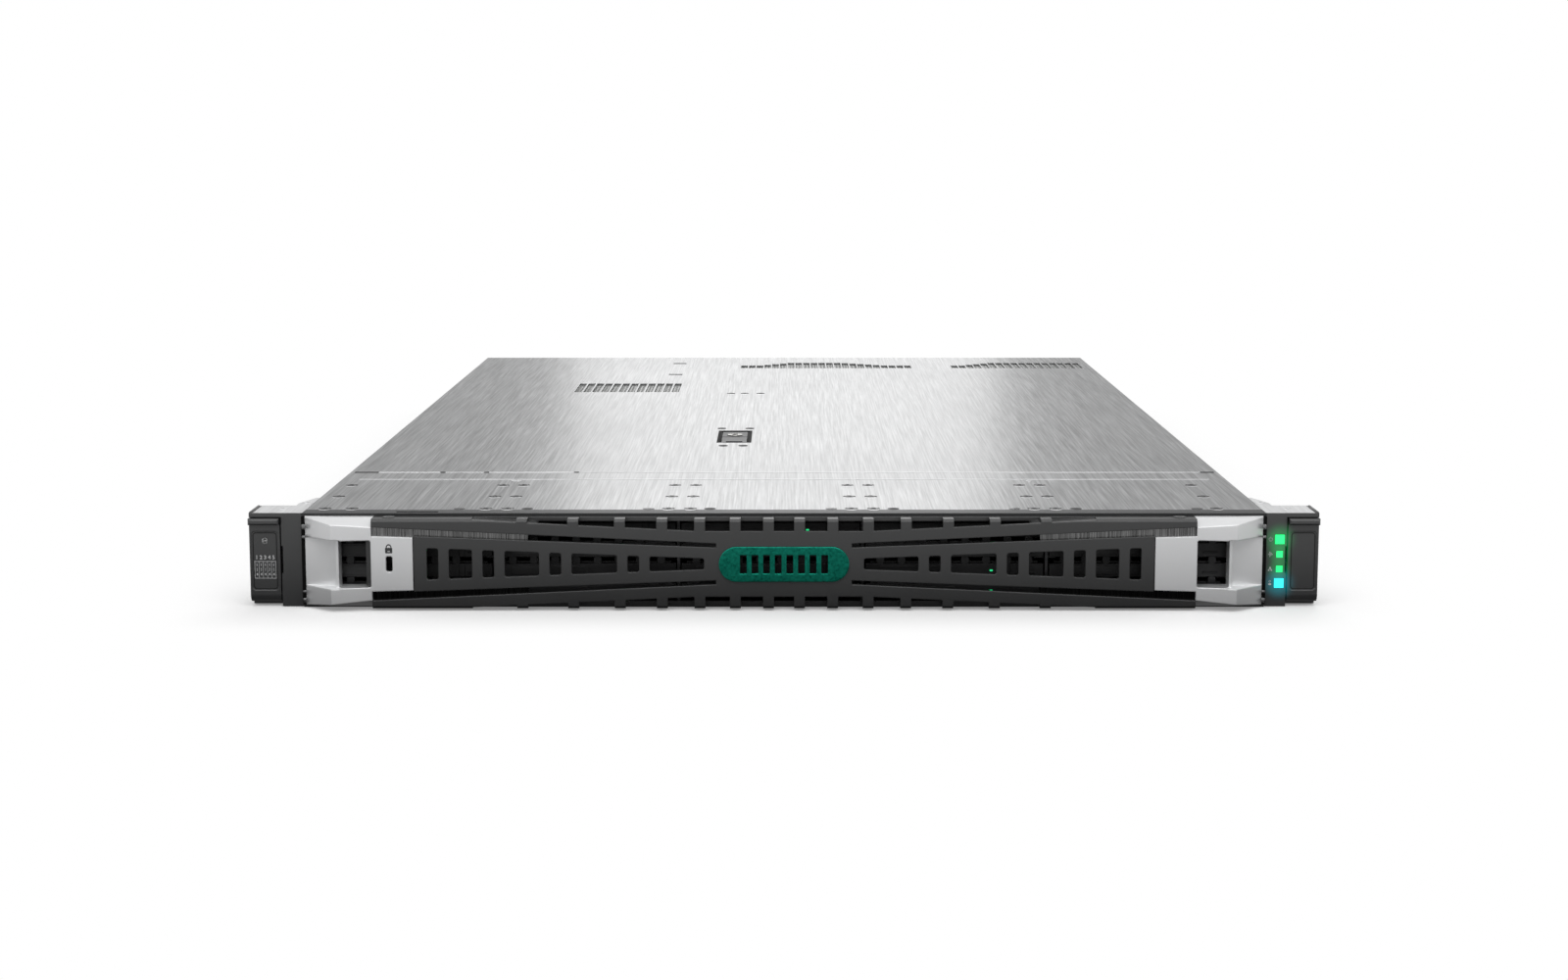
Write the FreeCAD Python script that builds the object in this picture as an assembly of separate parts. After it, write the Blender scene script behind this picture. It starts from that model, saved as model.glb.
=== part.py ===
"""A 1U rack server with a ventilated snap-on bezel, as an assembly of separate pieces.

Millimetres.  X runs left to right seen from the front, Y runs from the front to the back, Z is up.
The origin is on the underside, half way across, in the plane of the rack flanges (the ears' back faces),
so Y = 0 is the face that meets the rack posts.
"""
import FreeCAD, Part
import math
import os

from FreeCAD import Vector

# ---- Rack standard and chassis -------------------------------------------------------------------
CHASSIS_WIDTH = 434.6       # over the top panel's skirts
EAR_WIDTH = 23.8            # with the gaps, makes the 19 inch panel width of 482.6
SCREW_INSET = 8.75          # rack screw from the ear's outer edge, 465.1 from screw to screw
CHASSIS_HEIGHT = 42.9       # one rack unit less its clearance
FRAME_FACE = 23.4           # front frame's face, ahead of the rack plane
REAR_DEPTH = 728.0          # rear panel's outer face, behind the rack plane
SHEET = 1.0                 # chassis steel
FIT = 0.2                   # clearance between sheets that slide or drop together

# ---- Top: fixed panel in front, loose cover behind -----------------------------------------------
PANEL_FRONT = 12.8          # fixed panel's front edge, ahead of the rack plane
SEAM_Y = 111.2              # where the fixed panel ends and the cover starts
SKIRT_DROP = 8.0            # down-turned side flange of both
BEAD_BACK = 25.7            # stiffening bead, ahead of the seam
BEAD_WIDTH = 1.6
BEAD_DEPTH = 0.3
TAB_SLOT_X = -165.8         # slot in the frame's top for the bezel's tab
TAB_SLOT_WIDTH = 19.0
TAB_SLOT_LENGTH = 3.0
TAB_SLOT_BACK = 2.4         # from the frame's face
TAB_SLOT_DEPTH = 1.2

# Cover vents: slot width and pitch, and each run's left edge, number, lengths and distance from the back edge
VENT_SLOT = 4.6
VENT_PITCH = 5.5
FRONT_VENT_X = -135.3
FRONT_VENT_INSET = 237.6
FRONT_VENT_LENGTH = 54.0
FRONT_VENT_PITCH = 5.72
FRONT_VENT_COUNT = 12
REAR_VENT_INSET = 79.0
MIDDLE_VENT_X = -30.3
MIDDLE_VENT_COUNT = 22
SIDE_VENT_X = 118.4
SIDE_VENT_COUNT = 17
VENT_SHORT = 20.0
VENT_STEP = 5.0
VENT_LONG = 40.0
HOOK_SLOT_X = -74.5         # two punched slots for tool-free hooks
HOOK_SLOT_WIDTH = 9.2
HOOK_SLOT_LENGTH = 7.0
HOOK_SLOT_INSETS = (127.0, 48.0)

# ---- Cover latch ---------------------------------------------------------------------------------
LATCH_X = -27.4             # middle of the latch
LATCH_FRONT = 231.5
LATCH_LENGTH = 52.0
LATCH_WIDTH = 15.9
LATCH_TRAY_WALL = 1.5
LATCH_TRAY_DEPTH = 7.5
LATCH_LEVER_THICK = 3.4
LATCH_SUNK = 0.3            # lever's top below the cover's
LATCH_PIN_BACK = 3.0        # hinge pin from the back of the recess
LATCH_PIN_R = 1.2
LATCH_NOTCH = 9.0           # finger notch, wide and long
LATCH_NOTCH_LENGTH = 7.0
PIN_CLEAR = 0.08            # radial running clearance of every small hinge pin

# ---- Front frame and drive cage ------------------------------------------------------------------
FRAME_BORDER = 1.7          # frame's top and bottom members
CAGE_LEFT = -214.2          # left edge of the first drive box
BOX_PITCH = 83.26           # drive box to drive box
BOX_COUNT = 5
CAGE_WALL = 1.4
CAGE_SHEET = 0.8
CAGE_FACE = 20.0            # front of the cage walls and of the drives, ahead of the rack plane
DRIVES_PER_BOX = 4
DRIVE_PITCH = 9.3
FIRST_DRIVE_Z = 6.9         # middle of the lowest drive
DRIVE_LENGTH = 112.0
DRIVE_THICK = 7.5
DRIVE_BODY_WIDTH = 76.0
DRIVE_FRONT_WIDTH = 80.6
DRIVE_BAR_HEIGHT = 6.0
DRIVE_BAR_DEPTH = 3.0
DRIVE_BUTTON_WIDTH = 12.5   # ejector at the right end of a drive's front
DRIVE_BUTTON_BACK = 0.6
LEDGE_THICK = 1.0
LEDGE_LAP = 1.2             # how far a ledge reaches under a drive
BACKPLANE_GAP = 0.4
BACKPLANE_THICK = 1.6
BACKPLANE_DROP = 1.5        # its top below the side walls' top
AIR_SLOT_WIDTH = 20.8       # openings for air between the drive boxes
AIR_SLOT_HEIGHT = 27.9
CONNECTOR_DEPTH = 4.0
CONNECTOR_WIDTH = 38.0
CONNECTOR_HEIGHT = 5.0

# ---- Fans ----------------------------------------------------------------------------------------
FAN_COUNT = 6
FAN_PITCH = 68.0
FAN_FRONT = 140.0
FAN_WIDTH = 58.0
FAN_HEIGHT = 40.0
FAN_DEPTH = 56.0
FAN_BORE_R = 18.6
ROTOR_TIP_GAP = 0.8
ROTOR_HUB_R = 9.0
ROTOR_LENGTH = 22.0
ROTOR_CAP = 3.0             # hub's closed front
ROTOR_BACK = 4.0            # rotor's front from the housing's
ROTOR_BLADES = 5
BLADE_THICK = 1.2
BLADE_ANGLE = 38.0
SPIDER_ARM = 5.0            # bar that carries the motor's shaft
SPIDER_DEPTH = 5.0
SPIDER_GAP = 3.0
FAN_SHAFT_R = 1.5
SHAFT_SIDES = 8             # shaft's and bore's facets
BORE_SIDES = 12

# ---- Electronics ---------------------------------------------------------------------------------
BOARD_Z = 5.0
BOARD_THICK = 1.6
BOARD_FRONT = 214.0
BOARD_REAR_GAP = 6.0
BOARD_SIDE_GAP = 2.0
STANDOFF_R = 2.5
CPU_X = 100.0
CPU_Y = 367.0
CPU_WIDTH = 61.0
CPU_LENGTH = 82.0
CPU_HEIGHT = 6.0
SINK_WIDTH = 74.0
SINK_LENGTH = 118.0
SINK_TOP = 38.5
SINK_BASE = 5.0
SINK_FINS = 16
SINK_FIN = 1.2
DIMM_COUNT = 6              # memory modules on each side of a processor
DIMM_PITCH = 7.3
DIMM_LENGTH = 133.4
DIMM_HEIGHT = 31.2
DIMM_THICK = 1.3
SOCKET_WIDTH = 5.2
SOCKET_END = 4.0            # socket's latch end, past the module
SOCKET_HEIGHT = 1.6

# ---- Power supplies ------------------------------------------------------------------------------
PSU_WIDTH = 73.5
PSU_HEIGHT = 39.4
PSU_LENGTH = 185.0
PSU_SIDE_GAP = 0.5
PSU_UNDER_GAP = 0.3
PSU_PROUD = 1.0             # face of the supply behind the rear panel
INLET_WIDTH = 24.6
INLET_HEIGHT = 16.6
INLET_DEPTH = 16.0
INLET_BEVEL = 4.5           # cut-off upper corners that key the connector
INLET_X = -19.5             # middle of the inlet from the middle of the supply
INLET_COLLAR = 2.0          # wall round the inlet, and how far it stands out
INLET_PROUD = 1.0
CONTACT_WIDTH = 2.0
CONTACT_HEIGHT = 4.0
CONTACT_LENGTH = 9.0
CONTACTS = ((-7.0, -2.0), (0.0, 2.0), (7.0, -2.0))
GRILLE_SLOT = 2.6
GRILLE_PITCH = 4.4
GRILLE_COUNT = 7
GRILLE_X = 9.0              # middle of the grille from the middle of the supply
GRILLE_MARGIN = 6.0
GRILLE_DEPTH = 5.0
HANDLE_X = 12.5
HANDLE_WIDTH = 30.0
HANDLE_DROP = 27.0
HANDLE_STRAP = 4.0
HANDLE_THICK = 4.4
HANDLE_SWELL = 1.6          # grip thicker than the straps
HANDLE_EYE = 0.8            # wall round the hinge pin
HANDLE_PIN_R = 1.4
HANDLE_OFFSET = 3.4         # hinge pin behind the supply's face
HANDLE_PIVOT_Z = 35.2
LUG_THICK = 2.0
LUG_HALF = 2.2
RELEASE_X = 32.6            # release tab, a slider that is pushed towards the handle
RELEASE_THICK = 2.4
RELEASE_PAD = 3.6
RELEASE_HEIGHT = 16.0
RELEASE_REACH = 11.0
RELEASE_ROOT = 6.0
RELEASE_TRAVEL = 1.5
PLUG_BOARD_GAP = 6.0        # connector board in front of the supplies
PLUG_GAP = 0.4
PLUG_WIDTH = 46.0
PLUG_HEIGHT = 9.0
PLUG_DROP = 8.0             # plug below the supply's middle
BOARD_BAY_GAP = 8.0         # board's cut-out in front of the supplies

# ---- Rear panel, risers and ports ----------------------------------------------------------------
PSU_BAY_EDGE = -65.6        # inner edge of the two power supply bays
SLOT_X = (7.0, 151.0)       # middles of the two card slots
SLOT_WIDTH = 110.0
SLOT_BOTTOM = 24.0
SLOT_TOP = 40.0
MEZZ_X = (-12.0, 164.0)     # middles of the two mezzanine adapter slots
MEZZ_WIDTH = 76.0
MEZZ_BOTTOM = 8.2
MEZZ_TOP = 21.0
MEZZ_PROUD = 0.6            # face plates behind the rear panel
COVER_LAP = 1.2             # how far a blank laps behind its opening
BLANK_VENT = 9.0
BLANK_VENT_PITCH = 15.0
BLANK_VENT_COUNT = 7
BLANK_MARGIN = 4.5
TAB_REACH = 3.5             # tabs along the rear panel's top, their reach and their ends
REAR_TABS = ((-63.5, -54.4), (12.9, 97.8), (200.5, 214.9))
RISER_LENGTH = 153.0        # riser cage, forward from the rear panel
RISER_SHELF_Z = 22.2
RISER_LAP = 3.0             # shelf past each side of the card slot
RISER_STOP = 6.0            # upturned front edge
RISER_FOOT = 8.0
RISER_GAP = 0.4             # riser card to its cage
RISER_CARD_START = 14.0     # from the cage's front
RISER_CARD_LENGTH = 100.0
RISER_CARD_DROP = 2.0       # card's top below the cover
RISER_SOCKET_WALL = 1.8
RISER_SOCKET_END = 3.0
RISER_SOCKET_HEIGHT = 6.0
ADAPTER_CARD_Z = 0.6        # card's top above the slot's bottom
ADAPTER_CARD_THICK = 1.0
ADAPTER_CARD_SIDE = 3.0
ADAPTER_LENGTH = 105.0
PORT_CAGE_WIDTH = 15.4
PORT_CAGE_HEIGHT = 10.8
PORT_CAGE_LENGTH = 47.0
PORT_CAGE_PROUD = 2.0
PORT_WALL = 1.0
PORT_DEPTH = 30.0
PORT_PITCH = 22.0
PORT_X = (-22.0, 0.0)       # module cages from the adapter's middle
PULL_X = 26.0               # blank's pull tab from its middle
PULL_WIDTH = 10.0
PULL_THICK = 1.6
PULL_REACH = 6.4
MEZZ_VENT_X = -10.0
MEZZ_VENT = 3.6
MEZZ_VENT_HEIGHT = 6.4
MEZZ_VENT_PITCH = 6.4
MEZZ_VENT_COUNT = 8
PORTS_PROUD = 0.8           # board's ports behind the rear panel
JACK_X = 40.0
JACK_WIDTH = 15.8
JACK_HEIGHT = 13.2
JACK_LENGTH = 22.0
JACK_WALL = 2.0
JACK_LIP = 2.5              # wall above and below the opening
JACK_DEPTH = 14.0
USB_X = 66.0
USB_WIDTH = 13.2
USB_HEIGHT = 5.8
USB_LENGTH = 18.0
USB_SPACE = 1.6             # between the two stacked ports
USB_WALL = 0.6
USB_DEPTH = 9.0
TONGUE_THICK = 1.4
TONGUE_RISE = 0.8
VIDEO_X = 95.0
VIDEO_WIDTH = 17.0
VIDEO_HEIGHT = 8.4
VIDEO_LENGTH = 14.0
VIDEO_WALL = 1.3
VIDEO_DEPTH = 4.0

# ---- Rail studs ----------------------------------------------------------------------------------
STUD_COUNT = 3
STUD_FIRST = 50.0           # first stud behind the rack plane
STUD_LAST = 98.0            # last stud from the rear panel
STUD_Z = 20.0
STUD_NECK_R = 2.4
STUD_HEAD_R = 4.2
STUD_NECK = 2.4
STUD_HEAD = 1.6

# ---- Ears ----------------------------------------------------------------------------------------
EAR_GAP = 0.2               # ear cover to chassis side
EAR_BOTTOM = 0.3
EAR_WALL = 1.8
FLANGE_THICK = 1.5
EAR_LEG_LENGTH = 24.0       # bracket's leg along the chassis side
EAR_LEG_THICK = 1.6
EAR_TOP_PLATE = 0.8
EAR_LIP = 1.6               # cover's wall outside the top plate
COLUMN_WIDTH = 9.4          # inner column beside the lever
COLUMN_WALL = 0.7           # between the column and the lever's pocket
SCREW_R = 3.0
SCREW_NECK_R = 2.6          # plain neck that keeps the screw in its ear
SCREW_HEAD_R = 4.8
SCREW_HEAD = 7.0
SCREW_LENGTH = 9.0
SCREW_START = 0.2           # thread starts behind the ear's sheet
SCREW_HOLE_R = 3.4
SCREW_ROOM = 3.0            # cover's opening round the screw head

# ---- Ear levers ----------------------------------------------------------------------------------
LEVER_GAP = 0.6
LEVER_THICK = 3.3
LEVER_TOP = 40.7
LEVER_KNUCKLE_R = 3.4
LEVER_PIVOT_Z = 5.5
LEVER_PIN_R = 1.2
LIP_HEIGHT = 2.9
LIP_REACH = 3.4
LIP_BEVEL = 0.7
LABEL_MARGIN = 0.9
LABEL_BOTTOM = 7.6
LABEL_TOP = 34.6
LABEL_RECESS = 0.25
LABEL_CORNER = 1.0

# ---- Status column on the right ear --------------------------------------------------------------
STATUS_X = 6.3              # middle of the lights from the ear's inner face
BUTTON_SIZE = 4.1
BUTTON_Z = (10.9, 30.9)     # locator button, power button
BUTTON_PROUD = 0.5
BUTTON_LENGTH = 6.0
BUTTON_COLLAR = 0.8
BUTTON_CLEAR = 0.15
BUTTON_TRAVEL = 1.0
LIGHT_SIZE = 2.9
LIGHT_Z = (17.4, 24.1)

# ---- Bezel ---------------------------------------------------------------------------------------
BEZEL_FACE = 34.0           # bezel's face, ahead of the rack plane
BEZEL_HEIGHT = 40.6
BEZEL_GAP = 0.3             # behind the bezel, to the front frame
BEZEL_WALL = 2.0
BEZEL_BEVEL = 1.0
SLOT_BACK = 7.6             # rail slots run this far back over the edge
RAIL_SLOTS = (9.0, 10.0, 11.0, 12.0, 14.0, 16.0, 18.0, 20.0)   # widths, from the middle outwards
RAIL_RIB = 4.9
RAIL_BAND = 5.2             # solid band under the rail slots
RAIL_INNER = 9.3            # rail's inner edge from the middle, at the hub
RAIL_SLOPE = 0.0477
HUB_HALF = 30.4             # half length of the solid hub
ARM_HALF = 7.45             # arm's half height at the hub
ARM_SLOPE = 0.0377
ARM_END = 165.8
ARM_BORDER = 5.15
ARM_WINDOW_END = 160.0
ARM_WINDOWS = (5.2, 10.4, 5.2, 15.4, 5.2, 20.3, 5.2, 24.4)     # widths, from the end inwards
ARM_RIB = 4.7
WINDOW_CORNER = 0.6
BACKING_START = 114.7
BACKING_HALF = 18.2
BACKING_THICK = 0.8

# Hub insert, a slotted metal vent with round ends
INSERT_WIDTH = 58.4
INSERT_HEIGHT = 15.8
INSERT_PROUD = 1.0
INSERT_RIM = 1.6            # how far the rim laps over the hub's opening
INSERT_SLOT = 3.0
INSERT_SLOT_PITCH = 5.2
INSERT_SLOTS = 8
INSERT_SLOT_HEIGHT = 8.4

# Grips at the ends of the bezel
GRIP_START = 184.7
GRIP_RIDGE = 202.5          # foremost edge of the grip
GRIP_END = 215.9
GRIP_FACE = 37.0            # ridge, ahead of the rack plane
GRIP_TIP_DEPTH = 1.1
GRIP_END_DROP = 0.4
GRIP_INNER_HALF = 16.6
GRIP_RIDGE_HALF = 18.1
GRIP_FLAT = 3.4             # flat part of the grip's top
SCOOP_HALF = 11.1
SCOOP_DEPTHS = (27.3, 25.9, 24.9)   # scoop's back wall ahead of the rack plane: inner, crease, outer
SCOOP_START = 201.2
SCOOP_CREASE = 209.5
GRIP_WINDOW_START = 185.0
GRIP_WINDOW_END = 199.7
GRIP_WINDOW_HALF = 10.7
PLATE_START = 166.2
PLATE_INNER_HALF = 12.0
PLATE_OUTER_HALF = 12.6
LOCK_X = 176.8
LOCK_WIDTH = 3.0
LOCK_HEIGHT = 7.0

# Bezel latch, a slider behind the left grip's plate
SLIDER_START = 172.6
SLIDER_SHOW = 2.4           # how far it shows in the window
SLIDER_THICK = 4.0
SLIDER_HALF = 10.3
SLIDER_TRAVEL = 2.4
SLIDER_CLEAR = 0.25

# ---- Values that follow from the sizes above -----------------------------------------------------
HALF_WIDTH = CHASSIS_WIDTH / 2
MID_Z = CHASSIS_HEIGHT / 2
PANEL_UNDERSIDE = CHASSIS_HEIGHT - SHEET
WALL_OUTSIDE = HALF_WIDTH - SHEET - FIT     # upper part of the side walls, behind the skirts
WALL_INSIDE = WALL_OUTSIDE - SHEET
WALL_TOP = PANEL_UNDERSIDE - FIT
STEP_TOP = CHASSIS_HEIGHT - SKIRT_DROP - FIT
REAR_INSIDE = REAR_DEPTH - SHEET
BOARD_REAR = REAR_DEPTH - BOARD_REAR_GAP
RISER_FRONT = REAR_DEPTH - RISER_LENGTH
MEZZ_MID_Z = (MEZZ_BOTTOM + MEZZ_TOP) / 2
SLOT_MID_Z = (SLOT_BOTTOM + SLOT_TOP) / 2
PORTS_BACK = REAR_DEPTH + PORTS_PROUD
CAGE_RIGHT = CAGE_LEFT + BOX_COUNT * BOX_PITCH
CAGE_FLOOR = SHEET + CAGE_SHEET
DRIVE_BACK = -CAGE_FACE + DRIVE_LENGTH
BACKPLANE_Y = DRIVE_BACK + BACKPLANE_GAP + CONNECTOR_DEPTH
CAGE_BACK = BACKPLANE_Y + BACKPLANE_THICK
BOARD_TOP = BOARD_Z + BOARD_THICK
FAN_MID_Z = SHEET + FAN_HEIGHT / 2
ROTOR_FRONT = FAN_FRONT + ROTOR_BACK
PSU_BACK = REAR_DEPTH + PSU_PROUD
PSU_FRONT = PSU_BACK - PSU_LENGTH
PSU_BOTTOM = SHEET + PSU_UNDER_GAP
PSU_MID_Z = PSU_BOTTOM + PSU_HEIGHT / 2
PSU_X = tuple(-WALL_INSIDE + PSU_SIDE_GAP + PSU_WIDTH / 2 + k * (PSU_WIDTH + PSU_SIDE_GAP) for k in range(2))
EAR_INNER = HALF_WIDTH + EAR_GAP
EAR_OUTER = EAR_INNER + EAR_WIDTH
EAR_FACE = -FRAME_FACE
COLUMN_EDGE = EAR_INNER + COLUMN_WIDTH
LEVER_INNER = COLUMN_EDGE + LEVER_GAP
PIVOT_Y = EAR_FACE + LEVER_KNUCKLE_R
SCREW_X = EAR_OUTER - SCREW_INSET
BEZEL_BACK = -FRAME_FACE - BEZEL_GAP
BEZEL_HALF = BEZEL_HEIGHT / 2
BACKING_Y = -BEZEL_FACE + BEZEL_WALL
RAIL_END = GRIP_START       # half length of the bezel's two rails
WELL_START = SLIDER_START - SLIDER_TRAVEL - 2 * SLIDER_CLEAR
FAR = 5.0                   # how far a cutting tool runs past the face it cuts


# ---- Helpers -------------------------------------------------------------------------------------
def box(x0, x1, y0, y1, z0, z1):
    """A block between two corners."""
    return Part.makeBox(x1 - x0, y1 - y0, z1 - z0, Vector(x0, y0, z0))


def rod(radius, start, end):
    """A round bar from one point to another."""
    a, b = Vector(*start), Vector(*end)
    return Part.makeCylinder(radius, (b - a).Length, a, b - a)


def fuse(solids):
    """One solid from several that touch or overlap."""
    first, *rest = solids
    return first.multiFuse(rest).removeSplitter() if rest else first


def group(solids):
    """Several separate solids in one piece list."""
    return Part.makeCompound(solids)


def cut(solid, tools):
    """The solid less every tool."""
    return solid.cut(tools)


def mirror_x(shape):
    """The same shape on the other side of the middle plane."""
    return shape.mirror(Vector(0, 0, 0), Vector(1, 0, 0))


def bevelled(corners, size):
    """The outline's points with each corner cut off by the same distance along both sides."""
    points = []
    count = len(corners)
    for i, corner in enumerate(corners):
        for other in (corners[i - 1], corners[(i + 1) % count]):
            points.append(corner + (other - corner).normalize() * size)
    return points


def prism_y(points, y0, y1, bevel=0.0):
    """A prism with an outline of (x, z) points, from y0 to y1, with corners cut off if a bevel is given."""
    corners = [Vector(x, y0, z) for x, z in points]
    if bevel:
        corners = bevelled(corners, bevel)
    return Part.Face(Part.makePolygon(corners + corners[:1])).extrude(Vector(0, y1 - y0, 0))


def prism_x(points, x0, x1):
    """A prism with an outline of (y, z) points, from x0 to x1."""
    corners = [Vector(x0, y, z) for y, z in points]
    return Part.Face(Part.makePolygon(corners + corners[:1])).extrude(Vector(x1 - x0, 0, 0))


def rect_y(x, z, width, height, y0, y1, bevel=0.0):
    """A prism along Y with a rectangular outline about (x, z)."""
    w, h = width / 2, height / 2
    return prism_y([(x - w, z - h), (x + w, z - h), (x + w, z + h), (x - w, z + h)], y0, y1, bevel)


def bar(sides, radius, start, end):
    """A bar with a regular many-sided section, from one point to another."""
    a, b = Vector(*start), Vector(*end)
    turn = FreeCAD.Rotation(Vector(0, 0, 1), b - a)
    corners = [a + turn.multVec(Vector(radius * math.cos(t), radius * math.sin(t), 0))
               for t in (2 * math.pi * k / sides for k in range(sides))]
    return Part.Face(Part.makePolygon(corners + corners[:1])).extrude(b - a)


def flat_faced(sections):
    """A solid with flat faces through closed sections that have the same number of points."""
    faces = [Part.Face(Part.makePolygon(s + s[:1])) for s in (sections[0], sections[-1])]
    count = len(sections[0])
    for first, second in zip(sections, sections[1:]):
        for i in range(count):
            j = (i + 1) % count
            faces.append(Part.Face(Part.makePolygon([first[i], first[j], second[j], first[i]])))
            faces.append(Part.Face(Part.makePolygon([first[i], second[j], second[i], first[i]])))
    solid = Part.Solid(Part.Shell(faces))
    solid.fixTolerance(1e-6)
    return solid if solid.Volume > 0 else solid.reversed()


# ---- Chassis -------------------------------------------------------------------------------------
def chassis_tray():
    """Floor and side walls folded from one sheet, set in behind the skirts, with the board's standoffs."""
    step = STEP_TOP - SHEET
    half = [(0, 0), (HALF_WIDTH, 0), (HALF_WIDTH, STEP_TOP), (WALL_OUTSIDE, STEP_TOP), (WALL_OUTSIDE, WALL_TOP),
            (WALL_INSIDE, WALL_TOP), (WALL_INSIDE, step), (HALF_WIDTH - SHEET, step), (HALF_WIDTH - SHEET, SHEET),
            (0, SHEET)]
    right = prism_y(half, -PANEL_FRONT, REAR_DEPTH)
    standoffs = [bar(6, STANDOFF_R, (x, y, SHEET / 2), (x, y, BOARD_Z)) for x, y in standoff_places()]
    return fuse([right, mirror_x(right)] + standoffs)


def standoff_places():
    """Middles of the posts that the system board stands on."""
    side = WALL_INSIDE - BOARD_SIDE_GAP - 3 * STANDOFF_R
    front = BOARD_FRONT + 3 * STANDOFF_R
    rear = BOARD_REAR - 3 * STANDOFF_R
    middle = PSU_FRONT - 6 * STANDOFF_R
    return [(x, y) for x in (-side, 0, side) for y in (front, middle)] + [(0, rear), (side, rear)]


def rear_panel():
    """Sheet across the back with its openings, folded forward beside the power supplies as their bay's wall."""
    panel = box(PSU_BAY_EDGE, WALL_INSIDE, REAR_INSIDE, REAR_DEPTH, SHEET, WALL_TOP)
    corner = box(WALL_INSIDE - SHEET, HALF_WIDTH - SHEET, REAR_INSIDE, REAR_DEPTH, SHEET, STEP_TOP - SHEET)
    bay_wall = box(PSU_BAY_EDGE, PSU_BAY_EDGE + SHEET, PSU_FRONT, REAR_DEPTH, SHEET, WALL_TOP)
    y0, y1 = REAR_INSIDE - FAR, REAR_DEPTH + FAR
    tools = [rect_y(x, SLOT_MID_Z, SLOT_WIDTH, SLOT_TOP - SLOT_BOTTOM, y0, y1) for x in SLOT_X]
    tools += [rect_y(x, MEZZ_MID_Z, MEZZ_WIDTH, MEZZ_TOP - MEZZ_BOTTOM, y0, y1) for x in MEZZ_X]
    tools += [rect_y(x, z, w + 2 * FIT, h + 2 * FIT, y0, y1) for x, z, w, h in port_faces()]
    tabs = [box(x0, x1, REAR_INSIDE, REAR_DEPTH + TAB_REACH, WALL_TOP - SHEET, WALL_TOP) for x0, x1 in REAR_TABS]
    return cut(fuse([panel, corner, bay_wall] + tabs), tools)


def port_faces():
    """Middle, width and height of each port on the system board's back edge."""
    jack = (JACK_X, BOARD_TOP + JACK_HEIGHT / 2, JACK_WIDTH, JACK_HEIGHT)
    usb = [(USB_X, BOARD_TOP + USB_HEIGHT * (k + 0.5) + k * USB_SPACE, USB_WIDTH, USB_HEIGHT) for k in range(2)]
    video = (VIDEO_X, BOARD_TOP + VIDEO_HEIGHT / 2, VIDEO_WIDTH, VIDEO_HEIGHT)
    return [jack] + usb + [video]


def front_frame():
    """Dark frame round the drive bays, closed by a column at the right."""
    frame = box(-HALF_WIDTH, HALF_WIDTH, -FRAME_FACE, -PANEL_FRONT, 0, CHASSIS_HEIGHT)
    opening = box(CAGE_LEFT - FIT, CAGE_RIGHT + FIT, -FRAME_FACE - FAR, 0,
                  FRAME_BORDER, CHASSIS_HEIGHT - FRAME_BORDER)
    slot_y = TAB_SLOT_BACK - FRAME_FACE
    tab_slot = box(TAB_SLOT_X - TAB_SLOT_WIDTH / 2, TAB_SLOT_X + TAB_SLOT_WIDTH / 2, slot_y,
                   slot_y + TAB_SLOT_LENGTH, CHASSIS_HEIGHT - TAB_SLOT_DEPTH, CHASSIS_HEIGHT + FAR)
    return cut(frame, [opening, tab_slot])


def skirted_sheet(y0, y1):
    """A top sheet with a down-turned flange along each side."""
    top = box(-HALF_WIDTH, HALF_WIDTH, y0, y1, PANEL_UNDERSIDE, CHASSIS_HEIGHT)
    skirts = [box(s * HALF_WIDTH - (s > 0) * SHEET, s * HALF_WIDTH + (s < 0) * SHEET,
                  y0, y1, CHASSIS_HEIGHT - SKIRT_DROP, CHASSIS_HEIGHT) for s in (-1, 1)]
    return fuse([top] + skirts)


def front_top_panel():
    """Fixed sheet over the drives, with a stiffening bead across it."""
    sheet = skirted_sheet(-PANEL_FRONT, SEAM_Y - FIT)
    bead_y = SEAM_Y - BEAD_BACK
    bead = prism_x([(bead_y - BEAD_WIDTH / 2, CHASSIS_HEIGHT), (bead_y, CHASSIS_HEIGHT - BEAD_DEPTH),
                    (bead_y + BEAD_WIDTH / 2, CHASSIS_HEIGHT)],
                   -HALF_WIDTH + SKIRT_DROP, HALF_WIDTH - SKIRT_DROP)
    return cut(sheet, [bead])


def access_cover():
    """Loose cover with its vents, hook slots and the hole that the latch sits in."""
    sheet = skirted_sheet(SEAM_Y, REAR_DEPTH)
    holes = [box(x, x + VENT_SLOT, y, y + length, PANEL_UNDERSIDE - FAR, CHASSIS_HEIGHT + FAR)
             for x, y, length in vent_slots()]
    holes += [box(HOOK_SLOT_X - HOOK_SLOT_WIDTH / 2, HOOK_SLOT_X + HOOK_SLOT_WIDTH / 2, REAR_DEPTH - inset,
                  REAR_DEPTH - inset + HOOK_SLOT_LENGTH, PANEL_UNDERSIDE - FAR, CHASSIS_HEIGHT + FAR)
              for inset in HOOK_SLOT_INSETS]
    holes.append(box(*latch_outline(LATCH_TRAY_WALL), PANEL_UNDERSIDE - FAR, CHASSIS_HEIGHT + FAR))
    return cut(sheet, holes)


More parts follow.
